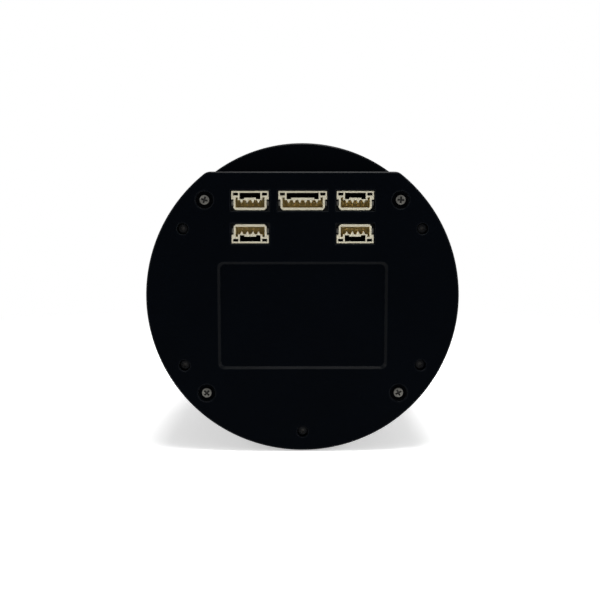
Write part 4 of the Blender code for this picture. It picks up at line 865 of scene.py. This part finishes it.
def buildHeader(name, node, ways, flip):
    style = headerStyle
    low, high, _ = boxOf(node)
    width, height, length = high.x - low.x, high.z - low.z, high.y - low.y
    rim = 0, style["edge"], 2
    shell = blockSolid(name, headerOutline(width, height), 0, length, "creamNylon", rim)
    slotX = width / 2 - style["slotEnd"] - style["slotSize"][0] / 2
    slotZ = height / 2 - style["slotDrop"] - style["slotSize"][1] / 2
    corner = style["corner"]
    slots = [roundedBox((side * slotX, slotZ), *style["slotSize"], corner, 2) for side in (-1, 1)]
    carve(
        shell,
        # the contact cavity takes nylon with painted shade, the latch pocket and slots take a painted
        # shadow
        cutterOf([contactOutline(width, height, ways)], 0, style["cavityDepth"], 0, "shadedCavityNylon"),
        cutterOf([latchOutline(width, height)], 0, style["windowDepth"], 0, "latchShadow"),
        cutterOf(slots, 0, style["slotDepth"], 0, "latchShadow"),
    )
    standAt(shell, node, flip)
    finishPiece(shell, "camera", "cream_nylon", node)

    start, side = style["pinStart"], style["pinSide"]
    z = style["floorWall"] - height / 2 + style["pinRise"]
    bm = bmesh.new()
    for i in range(ways):
        x = (i - (ways - 1) / 2) * style["pitch"]
        pin = roundedBox((x, z), side, side, corner, 2)
        addBlock(bm, pin, start, style["cavityDepth"] + 0.2 * mm)
    bmesh.ops.recalc_face_normals(bm, faces=bm.faces)
    softenRim(bm, start, style["pinTaper"], 1)
    pins = solid(name + "Pins", bm, "brass")
    standAt(pins, node, flip)
    finishPiece(pins, "camera", "brass")

    inset, drop = style["tabPlace"]
    bm = bmesh.new()
    for side in (-1, 1):
        tab = roundedBox((side * (width / 2 - inset), -drop), *style["tabSize"], corner, 2)
        addBlock(bm, tab, style["tabStart"], length)
    tabs = solid(name + "Tabs", bm, "screwSteel")
    standAt(tabs, node, flip)
    finishPiece(tabs, "camera", "steel")


def buildHeaders():
    labels = ("upperLeft", "upperMiddle", "upperRight", "lowerLeft", "lowerRight")
    for label, node in zip(labels, headerNodes):
        ways = 6 if node.endswith("middle") else 4
        buildHeader(label + "Header", node, ways, "lower" in node)


buildHeaders()
print("headers built")


# screws

screwFamilies = {
    # node stem: count, side the head faces, head height, drive, finish, slot, drive turns in degrees
    "cover_screw": (4, -1, 0.8 * mm, "cross", "screwSteel", "steel", (18, 4, 45, 62)),
    "body_screw": (5, -1, 0.8 * mm, "hexagon", "blackOxide", "black_steel", (10, 33, 5, 51, 24)),
    "fan_screw": (4, -1, 1.4 * mm, "cross", "platedSteel", "steel", (12, 40, 70, 25)),
    "sensor_board_screw": (3, 1, 1.0 * mm, "hexagon", "platedSteel", "steel", (0, 20, 40)),
    "housing_screw": (3, 1, 2.0 * mm, "hexagon", "blackOxide", "black_steel", (15, 35, 55)),
    "front_plate_screw": (4, 1, 1.6 * mm, "hexagon", "blackOxide", "black_steel", (8, 27, 49, 38)),
}
shankOf = {
    "cover_screw": 0.8 * mm,
    "body_screw": 0.7 * mm,
    "fan_screw": 1.4 * mm,
    "sensor_board_screw": 0.8 * mm,
    "housing_screw": 1.2 * mm,
    "front_plate_screw": 1.25 * mm,
}
screwStyle = {
    "domed": 0.28,  # rise of the crown, as a share of the head's height
    "flat": 0.08,
    "crown": (0.35, 0.6, 0.8, 0.92),  # radii at which the crown is shaped, as shares of the head's
    "fall": 2.4,
    "underEdge": 0.05 * mm,
    "threadStart": 0.35 * mm,
    "pitch": 0.45 * mm,
    "depth": 0.12 * mm,
    "tip": (0.3 * mm, 0.25 * mm),  # length, taper
    "sides": 28,
}
driveStyle = {
    "depth": 0.62,  # as a share of the head's height; the rest are shares of its radius
    "cross": (1.42, 0.36),  # length and width of each bar
    "crossFloor": (0.62, 0.7),  # how they narrow to the floor
    "hexagon": 0.52,
}


def screwProfile(head, shank, height, length, domed):
    # (radius, y) from the top of the head to the tip, head towards -Y and seat at y = 0
    style = screwStyle
    rise = height * (style["domed"] if domed else style["flat"])
    under, (tip, taper) = style["underEdge"], style["tip"]
    profile = [(0, -height)]
    profile += [(head * share, -height + rise * share ** style["fall"]) for share in style["crown"]]
    profile += [(head, -height + rise * 1.5), (head, -under), (head - under, 0), (shank, 0)]
    y = style["threadStart"]
    while y + style["pitch"] < length - tip:
        profile += [(shank, y), (shank - style["depth"], y + style["pitch"] / 2)]
        y += style["pitch"]
    profile += [(shank, length - tip), (shank - taper, length), (0, length)]
    return profile


def driveCutter(drive, head, height, angle):
    style = driveStyle
    depth = style["depth"] * height
    bm = bmesh.new()
    if drive == "cross":
        (long, wide), (shorter, narrower) = style["cross"], style["crossFloor"]
        for part in (0, 1):
            bar = bmesh.ops.create_cube(bm, size=1)["verts"]
            bmesh.ops.scale(bm, verts=bar, vec=(head * long, depth, head * wide))
            floor = [v for v in bar if v.co.y > 0]
            bmesh.ops.scale(bm, verts=floor, vec=(shorter, 1, narrower))
            bmesh.ops.rotate(bm, verts=bar, matrix=Matrix.Rotation(quarter * part, 3, "Y"))
    else:
        addBlock(bm, circle((0, 0), head * style["hexagon"], 6), -depth / 2, depth / 2)
    bmesh.ops.translate(bm, verts=bm.verts, vec=(0, -height + depth / 2 - 0.001 * mm, 0))
    bmesh.ops.rotate(bm, verts=bm.verts, matrix=Matrix.Rotation(math.radians(angle), 3, "Y"))
    return solid("cutter", bm, "driveShadow")


def buildScrew(name, node, facing, height, drive, finish, slot, angle):
    low, high, middle = boxOf(node)
    head = (high.x - low.x) / 2
    shank = shankOf[node.rsplit("_", 1)[0]]
    length = high.y - low.y - height
    profile = screwProfile(head, shank, height, length, drive == "cross")
    screw = turnedSolid(name, profile, screwStyle["sides"], finish)
    carve(screw, driveCutter(drive, head, height, angle), crossing=True)
    if facing < 0:
        screw.data.transform(Matrix.Translation((middle.x, low.y + height, middle.z)))
    else:
        half = Matrix.Rotation(math.pi, 4, "X")
        screw.data.transform(Matrix.Translation((middle.x, high.y - height, middle.z)) @ half)
    finishPiece(screw, "camera", slot, node, sharp=35)


def buildScrews():
    for stem, (count, facing, height, drive, finish, slot, turns) in screwFamilies.items():
        words = stem.split("_")
        label = words[0] + "".join(word.capitalize() for word in words[1:])
        for i in range(count):
            buildScrew(f"{label}{i + 1}", f"{stem}_{i + 1}", facing, height, drive, finish, slot, turns[i])


buildScrews()
print("screws built")


# cooling body

coolingStyle = {
    "wall": 2.0 * mm,
    "bulkhead": 2.0 * mm,
    "edge": 0.3 * mm,
    "sides": 192,
    "ventCount": 24,
    "ventWidth": 3.2 * mm,
    "ventEnd": 6.0 * mm,  # from each end of the shell to the vents
    "ventFlare": 0.3 * mm,
    "boardBoss": (1.9 * mm, 2.0 * mm),  # radius, height
    "rearBoss": (2.5 * mm, 3.0 * mm),
    "frontBoss": (3.0 * mm, 5.0 * mm),
    "studHole": 0.9 * mm,
    "rearHole": 0.9 * mm,
    "frontHole": 1.4 * mm,
    "wireRadius": 0.55 * mm,
    "wireHole": 0.9 * mm,
    "wireSlot": (1.8 * mm, 6.8 * mm),
    "ribbonSlot": (1.0 * mm, 8.7 * mm),
}
housingScrewNodes = [f"housing_screw_{i}" for i in (1, 2, 3)]
plateScrewNodes = [f"front_plate_screw_{i}" for i in (1, 2, 3, 4)]


def radialCutter(outline, radius, depth, flare, turns, finish="blackAnodised"):
    # one pocket sunk from outside at each turn about the optical axis; its outline is (y, z)
    bm = bmesh.new()
    for angle in turns:
        earlier = set(bm.verts)
        addPocket(bm, outline, -radius, depth - radius, flare)
        fresh = [v for v in bm.verts if v not in earlier]
        aim = Matrix.Rotation(angle, 3, "Y") @ Matrix.Rotation(quarter, 3, "Z")
        bmesh.ops.rotate(bm, verts=fresh, matrix=aim)
    return solid("cutter", bm, finish)


def buildCoolingBody():
    style = coolingStyle
    low, high, _ = boxOf("cooling_body")
    boardRadius, boardRise = style["boardBoss"]
    rear, front, radius = low.y + boardRise, high.y, high.x
    inner, edge, floor = radius - style["wall"], style["edge"], low.y + boardRise + style["bulkhead"]
    profile = [(0, rear), (radius - edge, rear), (radius, rear + edge), (radius, front - edge)]
    profile += [(radius - edge, front), (inner + edge, front), (inner, front - edge)]
    profile += [(inner, floor + edge), (inner - edge, floor), (0, floor)]
    shell = turnedSolid("coolingBody", profile, style["sides"], "blackAnodised")
    paintFaces(shell, "milledEdge", isChamfer)

    rearRadius, rearRise = style["rearBoss"]
    frontRadius, frontRise = style["frontBoss"]
    studs, rears, fronts = placesOf(coverScrewNodes), placesOf(bodyScrewNodes), placesOf(housingScrewNodes)
    for places, size, start, end in (
        (studs, boardRadius, low.y, rear + 0.5 * mm),
        (rears, rearRadius, floor - 0.5 * mm, floor + rearRise),
        (fronts, frontRadius, front - frontRise, front - 0.05 * mm),
    ):
        bm = bmesh.new()
        for place in places:
            addBlock(bm, circle(place, size, 32), start, end)
        carve(shell, solid("cutter", bm, "blackAnodised"), operation="UNION")

    middle, length = (rear + front) / 2, front - rear - 2 * style["ventEnd"]
    vent = roundedBox((middle, 0), length, style["ventWidth"], style["ventWidth"] / 2 - 1e-5, 8)
    turns = [(n + 0.5) * turn / style["ventCount"] for n in range(style["ventCount"])]
    wireX = boxOf("tec_lead_1")[1].x - style["wireRadius"]
    passages = [
        roundedBox((-wireX, 0), *style["ribbonSlot"], 0.4 * mm, 4),
        roundedBox((wireX, 0), *style["wireSlot"], 0.8 * mm, 6),
        circle((wireX, boxOf("fan_lead")[2].z), style["wireHole"], 24),
    ]
    carve(
        shell,
        radialCutter(vent, radius, style["wall"] + 1.2 * mm, style["ventFlare"], turns),
        holes(studs, style["studHole"], 24, low.y, floor + mm),
        holes(rears, style["rearHole"], 24, rear, rear + 4 * mm),
        holes(fronts, style["frontHole"], 24, front, front - frontRise + 0.3 * mm),
        cutterOf(passages, rear, floor + mm),
    )
    finishPiece(shell, "camera", "black_anodised", "cooling_body")


# front housing, which holds the window and the sensor chamber

housingStyle = {
    "sides": 192,
    "edge": 0.4 * mm,
    "seatRadius": 23.8 * mm,
    "seatDepth": 4.4 * mm,
    "chamberRadius": 21.5 * mm,
    "aperture": 14.0 * mm,
    "web": 1.2 * mm,
    "pocketRadius": 19.2 * mm,
    "pocketDepth": 5.4 * mm,
    "threadPitch": 0.5 * mm,
    "threadDepth": 0.22 * mm,
    "threadLength": 2.4 * mm,
    "screwWell": 2.6 * mm,
    "screwWellFloor": 8.0 * mm,  # from the rear face
    "screwHole": 1.4 * mm,
    "plateHole": (1.45 * mm, 5.2 * mm),
    "stemEnd": 18.0 * mm,  # from the optical axis to the end of the plug's passage
}
plugStyle = {
    "head": 5.5 * mm,
    "stem": 3.2 * mm,
    "sink": 0.6 * mm,
    "height": 1.8 * mm,
    "gap": 0.3 * mm,
    "edge": 0.3 * mm,
    "slot": (1.4 * mm, 0.9 * mm),  # width, depth
    "underEdge": 0.15 * mm,
    "slotFlare": 0.12 * mm,
    "headFlare": 0.35 * mm,
    "flutes": 36,
    "fluteOut": 0.12 * mm,  # from the head's side to the middle of a flute
    "fluteEnd": 0.4 * mm,
    "fluteRadius": 0.32 * mm,
}


def buildFrontHousing():
    style, plug = housingStyle, plugStyle
    low, high, _ = boxOf("front_housing")
    rear, front, radius, edge = low.y, high.y, high.x, style["edge"]
    webFront = front - style["pocketDepth"]
    webRear = webFront - style["web"]
    pocket, aperture = style["pocketRadius"], style["aperture"]
    pitch, deep = style["threadPitch"], style["threadDepth"]
    profile = [(radius - edge, rear), (radius, rear + edge), (radius, front - edge), (radius - edge, front)]
    profile += [(pocket + edge, front), (pocket, front - edge)]
    y = front - edge
    while y - pitch > front - style["threadLength"]:
        profile += [(pocket + deep, y - pitch / 2), (pocket, y - pitch)]
        y -= pitch
    profile += [(pocket, webFront), (aperture + 0.5 * mm, webFront), (aperture, webFront - 0.5 * mm)]
    chamber, seatRadius, seatY = style["chamberRadius"], style["seatRadius"], rear + style["seatDepth"]
    profile += [(aperture, webRear), (chamber, webRear), (chamber, seatY), (seatRadius, seatY)]
    profile += [(seatRadius, rear + edge), (seatRadius + edge, rear)]
    shell = turnedSolid("frontHousing", profile, style["sides"], "blackAnodised", ring=True)
    paintFaces(shell, "milledEdge", isChamfer)

    def inChamber(face):
        x, y, z = face.center
        return y < webFront and math.hypot(x, z) < chamber + style["web"] / 4

    paintFaces(shell, "flockedBlack", inChamber)  # keeps stray light off the sensor

    plugY = boxOf("desiccant_plug")[2].y
    screws, plates = placesOf(housingScrewNodes), placesOf(plateScrewNodes)
    plateHole, plateDepth = style["plateHole"]
    gap = plug["gap"]
    seat = plug["sink"] + plug["height"] + gap
    headHole = circle((plugY, 0), plug["head"] + gap, 64)
    stemHole = circle((plugY, 0), plug["stem"] + gap, 40)
    carve(
        shell,
        holes(screws, style["screwWell"], 32, front, rear + style["screwWellFloor"]),
        holes(screws, style["screwHole"], 24, front, rear - mm),
        holes(plates, plateHole, 24, front, front - plateDepth),
        radialCutter(headHole, radius, seat, plug["headFlare"], [math.pi]),
        radialCutter(stemHole, radius, radius - style["stemEnd"], 0, [math.pi]),
    )
    finishPiece(shell, "camera", "black_anodised", "front_housing")


def buildDesiccantPlug():
    # shaped along -Y, then turned to face -X
    style = plugStyle
    low, high, middle = boxOf("desiccant_plug")
    outer, inner, edge = low.x, high.x, style["edge"]
    head, stem, under = style["head"], style["stem"], low.x + style["height"]
    small = style["underEdge"]
    profile = [(0, outer), (head - edge, outer), (head, outer + edge), (head, under - small)]
    profile += [(head - small, under), (stem, under), (stem, inner - edge)]
    profile += [(stem - edge, inner), (0, inner)]
    plug = turnedSolid("desiccantPlug", profile, 96, "turnedAnodised")
    width, depth = style["slot"]
    slot = roundedBox((0, 0), 2 * head + 2 * mm, width, 0.1 * mm, 2)
    flutes = []
    for n in range(style["flutes"]):
        angle, far = turn * n / style["flutes"], head + style["fluteOut"]
        flutes.append(circle((far * math.cos(angle), far * math.sin(angle)), style["fluteRadius"], 10))
    carve(
        plug,
        cutterOf(flutes, outer, under - style["fluteEnd"], 0, "turnedAnodised"),
        cutterOf([slot], outer, outer + depth, style["slotFlare"], "turnedAnodised"),
    )
    plug.data.transform(Matrix.Translation((0, middle.y, 0)) @ Matrix.Rotation(-quarter, 4, "Z"))
    finishPiece(plug, "camera", "black_anodised", "desiccant_plug")


# front plate with the telescope thread

plateStyle = {
    "sides": 192,
    "edge": 0.5 * mm,
    "rearEdge": 0.3 * mm,
    "crest": 20.55 * mm,
    "root": 20.95 * mm,
    "pitch": 0.75 * mm,
    "lead": 0.6 * mm,  # the chamfer before the first thread
    "mouth": 0.3 * mm,  # how much wider than the root it starts
    "rootShare": 0.1,  # of the pitch
    "wellFlare": 0.2 * mm,
    "well": 2.3 * mm,
    "wellDepth": 2.2 * mm,
    "hole": 1.45 * mm,
}


def buildFrontPlate():
    style = plateStyle
    low, high, _ = boxOf("front_plate")
    rear, front, radius = low.y, high.y, high.x
    profile = [(radius - style["rearEdge"], rear), (radius, rear + style["rearEdge"])]
    profile += [(radius, front - style["edge"]), (radius - style["edge"], front)]
    root, crest, pitch, share = style["root"], style["crest"], style["pitch"], style["rootShare"]
    y = front - style["lead"]
    profile += [(root + style["mouth"], front), (crest, y)]
    while y - pitch > rear + style["mouth"]:
        profile += [(root, y - pitch * (1 - share) / 2), (root, y - pitch * (1 + share) / 2)]
        y -= pitch
        profile.append((crest, y))
    profile.append((crest + 0.2 * mm, rear))
    plate = turnedSolid("frontPlate", profile, style["sides"], "turnedAnodised", ring=True)
    places = placesOf(plateScrewNodes)
    carve(
        plate,
        holes(places, style["well"], 48, front, front - style["wellDepth"], style["wellFlare"]),
        holes(places, style["hole"], 24, front, rear - mm),
    )
    finishPiece(plate, "camera", "black_anodised", "front_plate")


# window and its retaining ring

ringStyle = {"sides": 160, "width": 3.2 * mm, "edge": 0.2 * mm, "slot": (1.6 * mm, 0.8 * mm)}
glassStyle = {"sides": 128, "edge": 0.2 * mm}


def buildWindow():
    low, high, _ = boxOf("window_retaining_ring")
    outer, edge = high.x, ringStyle["edge"]
    inner = outer - ringStyle["width"]
    profile = [(inner, low.y + edge), (inner + edge, low.y), (outer - edge, low.y), (outer, low.y + edge)]
    profile += [(outer, high.y - edge), (outer - edge, high.y), (inner + 2 * edge, high.y)]
    profile.append((inner, high.y - 2 * edge))
    ring = turnedSolid("windowRetainingRing", profile, ringStyle["sides"], "turnedAnodised", ring=True)
    width, depth = ringStyle["slot"]
    slot = roundedBox((0, 0), 2 * outer + 2 * mm, width, 0.1 * mm, 2)
    carve(ring, cutterOf([slot], high.y, high.y - depth, 0.1 * mm, "turnedAnodised"))
    finishPiece(ring, "camera", "black_anodised", "window_retaining_ring")

    low, high, _ = boxOf("window_glass")
    radius, edge = high.x, glassStyle["edge"]
    profile = [(0, low.y), (radius - edge, low.y), (radius, low.y + edge), (radius, high.y - edge)]
    profile += [(radius - edge, high.y), (0, high.y)]
    glass = turnedSolid("windowGlass", profile, glassStyle["sides"], "windowGlass")
    finishPiece(glass, "camera", "glass", "window_glass")


buildCoolingBody()
buildFrontHousing()
buildDesiccantPlug()
buildFrontPlate()
buildWindow()
print("housing, plate, window and plug built")


# image sensor in its package, and the small parts beside it on the board

sensorStyle = {
    "corner": 0.6 * mm,
    "edge": 0.12 * mm,
    "rim": 1.6 * mm,
    "ledge": 0.9 * mm,  # the shelf that carries the bond pads
    "ledgeDepth": 0.3 * mm,
    "recessDepth": 0.75 * mm,
    "die": (16.2 * mm, 11.2 * mm, 0.25 * mm),
    "pixels": (14.9 * mm, 10.1 * mm),
    "pads": 30,
    "padPitch": 0.5 * mm,
    "padSize": (0.24 * mm, 0.5 * mm, 0.05 * mm),
}


def buildSensor():
    style = sensorStyle
    low, high, middle = boxOf("sensor_package")
    width, height = high.x - low.x, high.z - low.z
    centre = (middle.x, middle.z)
    outline, rim = roundedBox(centre, width, height, style["corner"], 6), (high.y, style["edge"], 2)
    package = blockSolid("sensorPackage", outline, low.y, high.y, "sensorCeramic", rim)
    rim, ledge = 2 * style["rim"], 2 * (style["rim"] + style["ledge"])
    upper = roundedBox(centre, width - rim, height - rim, 0.5 * mm, 5)
    lower = roundedBox(centre, width - ledge, height - ledge, 0.4 * mm, 5)
    carve(
        package,
        cutterOf([upper], high.y, high.y - style["ledgeDepth"], 0, "sensorCeramic"),
        cutterOf([lower], high.y, high.y - style["recessDepth"], 0, "sensorCeramic"),
    )
    finishPiece(package, "camera", "sensor_ceramic", "sensor_package")

    dieWidth, dieHeight, dieDepth = style["die"]
    floor = high.y - style["recessDepth"]
    sunk, corner = 0.05 * mm, 0.05 * mm
    outline, top = roundedBox(centre, dieWidth, dieHeight, corner, 2), floor + dieDepth
    die = blockSolid("sensorDieFrame", outline, floor - sunk, top, "chipBlack", (top, 0.04 * mm, 1))
    finishPiece(die, "camera", "sensor_ceramic")
    outline = roundedBox(centre, *style["pixels"], corner, 2)
    pixels = blockSolid("sensorPixels", outline, top - sunk, top + 0.03 * mm, "sensorDie")
    finishPiece(pixels, "camera", "sensor_ceramic")

    bm = bmesh.new()
    padWidth, padLength, padDepth = style["padSize"]
    shelf = high.y - style["ledgeDepth"]
    for side in (-1, 1):
        z = middle.z + side * (height / 2 - style["rim"] - style["ledge"] / 2)
        for n in range(style["pads"]):
            x = middle.x + (n - (style["pads"] - 1) / 2) * style["padPitch"]
            pad = roundedBox((x, z), padWidth, padLength, corner, 1)
            addBlock(bm, pad, shelf - 0.02 * mm, shelf + padDepth)
    finishPiece(solid("sensorBondPads", bm, "bondGold"), "camera", "brass")


smallPartStyle = {
    "size": (1.6 * mm, 0.8 * mm, 0.7 * mm),  # length, width, height
    "cap": 0.35 * mm,
    "plating": (0.04 * mm, 0.03 * mm),  # how much wider and higher a cap is than the part
    "thinShare": 0.6,  # height of a resistor beside a capacitor
    "corner": 0.06 * mm,
    "sunk": 0.05 * mm,  # into the board
    "rowHeight": 11.0 * mm,
    "rowPitch": 1.55 * mm,
    "rowCount": 8,
    "columnPlace": 13.4 * mm,
    "columnPitch": 2.5 * mm,
    "columnCount": 5,
}


def buildSmallParts():
    style = smallPartStyle
    board = boxOf("sensor_board")[1].y
    length, width, rise = style["size"]
    places = []
    for side in (-1, 1):
        for n in range(style["rowCount"]):
            x = (n - (style["rowCount"] - 1) / 2) * style["rowPitch"]
            places.append((x, side * style["rowHeight"], n % 3))
        for n in range(style["columnCount"]):
            z = (n - (style["columnCount"] - 1) / 2) * style["columnPitch"]
            places.append((side * style["columnPlace"], z, 1 + n % 2))
    bodies = {"sensorBoardCapacitors": [], "sensorBoardResistors": [], "sensorBoardTerminals": []}
    for x, z, kind in places:
        family = "sensorBoardResistors" if kind == 2 else "sensorBoardCapacitors"
        high = rise * (style["thinShare"] if kind == 2 else 1)
        bodies[family].append(((x, z), width, length - 2 * style["cap"], high))
        for end in (-1, 1):
            shift = end * (length - style["cap"]) / 2
            size = width + style["plating"][0], style["cap"], high + style["plating"][1]
            bodies["sensorBoardTerminals"].append(((x, z + shift), *size))
    finishesOf = ("capacitorTan", "chipBlack", "tinPlate")
    slotsOf = ("white_ceramic", "sensor_ceramic", "steel")
    for (name, blocks), finish, slot in zip(bodies.items(), finishesOf, slotsOf):
        bm = bmesh.new()
        for centre, across, along, high in blocks:
            outline = roundedBox(centre, across, along, style["corner"], 2)
            addBlock(bm, outline, board - style["sunk"], board + high)
        finishPiece(solid(name, bm, finish), "camera", slot)


buildSensor()
buildSmallParts()
print("sensor and its board parts built")


# fan rotor, which spins with its own body

rotorStyle = {
    "hub": 7.8 * mm,
    "wall": 1.0 * mm,
    "face": 1.2 * mm,
    "boss": (2.2 * mm, 0.5 * mm),
    "socket": (1.2 * mm, 0.6 * mm),  # radius and floor thickness
    "edge": 0.5 * mm,
    "blades": 7,
    "chord": 6.6 * mm,
    "thickness": 0.8 * mm,
    "rootPitch": 44,  # degrees
    "tipPitch": 32,
    "camber": 0.5 * mm,
    "sides": 96,
}


def buildRotor():
    style = rotorStyle
    low, high, _ = boxOf("fan_rotor")
    rear, front = low.y, high.y
    hub, wall, face, edge = style["hub"], style["wall"], style["face"], style["edge"]
    bossRadius, bossRise = style["boss"]
    socket, socketFloor = style["socket"]
    profile = [(0, rear), (hub - edge, rear), (hub - 0.15 * edge, rear + 0.4 * edge), (hub, rear + edge)]
    profile += [(hub, front), (hub - wall, front), (hub - wall, rear + face), (bossRadius, rear + face)]
    profile += [(bossRadius, rear + face + bossRise), (socket, rear + face + bossRise)]
    profile += [(socket, rear + socketFloor), (0, rear + socketFloor)]
    rotor = turnedSolid("fanRotor", profile, style["sides"], "fanPlastic")
    root, tip, chord = hub - wall / 2, high.x, style["chord"]
    rootPitch, tipPitch = style["rootPitch"], style["tipPitch"]
    bm = bmesh.new()
    for n in range(style["blades"]):
        grid = bmesh.ops.create_grid(bm, x_segments=14, y_segments=8, size=0.5)["verts"]
        for v in grid:
            run, out = v.co.x, v.co.y + 0.5
            pitch = math.radians(rootPitch + (tipPitch - rootPitch) * out)
            bow = style["camber"] * (1 - (2 * run) ** 2)
            radius = root + (tip - root) * out
            sideways = run * chord * math.cos(pitch) - bow * math.sin(pitch)
            y = run * chord * math.sin(pitch) + bow * math.cos(pitch)
            angle = turn * n / style["blades"] + sideways / radius
            v.co = (radius * math.cos(angle), (rear + front) / 2 + y, radius * math.sin(angle))
    bmesh.ops.solidify(bm, geom=bm.faces[:], thickness=style["thickness"])
    carve(rotor, solid("cutter", bm, "fanPlastic"), operation="UNION")
    finishPiece(rotor, "fan_impeller", "fan_plastic", "fan_rotor")


buildRotor()
print("fan rotor built")


# carried-over nodes

carriedOver = {
    "flockedBlack": ("chamber_base",),
    "boardGreen": ("main_board", "sensor_board"),
    # io board: black solder mask, also painted shade in the gaps beside the header necks
    "boardBlack": ("io_board",),
    "brass": ("fan_bearing", *[f"board_standoff_{i}" for i in (1, 2, 3, 4)]),
    "fanPlastic": ("fan_frame",),
    "platedSteel": ("fan_shaft",),
    "woundCopper": ("fan_stator",),
    "bareCopper": ("cold_finger",),
    "bareAluminium": ("heatsink",),
    "whiteCeramic": ("thermoelectric_cooler",),
    "lidGlass": ("sensor_glass",),
    "blackRubber": ("chamber_o_ring", "window_o_ring"),
    "amberFilm": ("sensor_ribbon",),
    "redWire": ("tec_lead_1",),
    "blackWire": ("tec_lead_2", "fan_lead"),
}


def finishNodes():
    for finish, names in carriedOver.items():
        for name in names:
            mesh = nodes[name].data
            mesh.materials.clear()
            mesh.materials.append(material[finish])


finishNodes()
print("carried-over nodes finished")
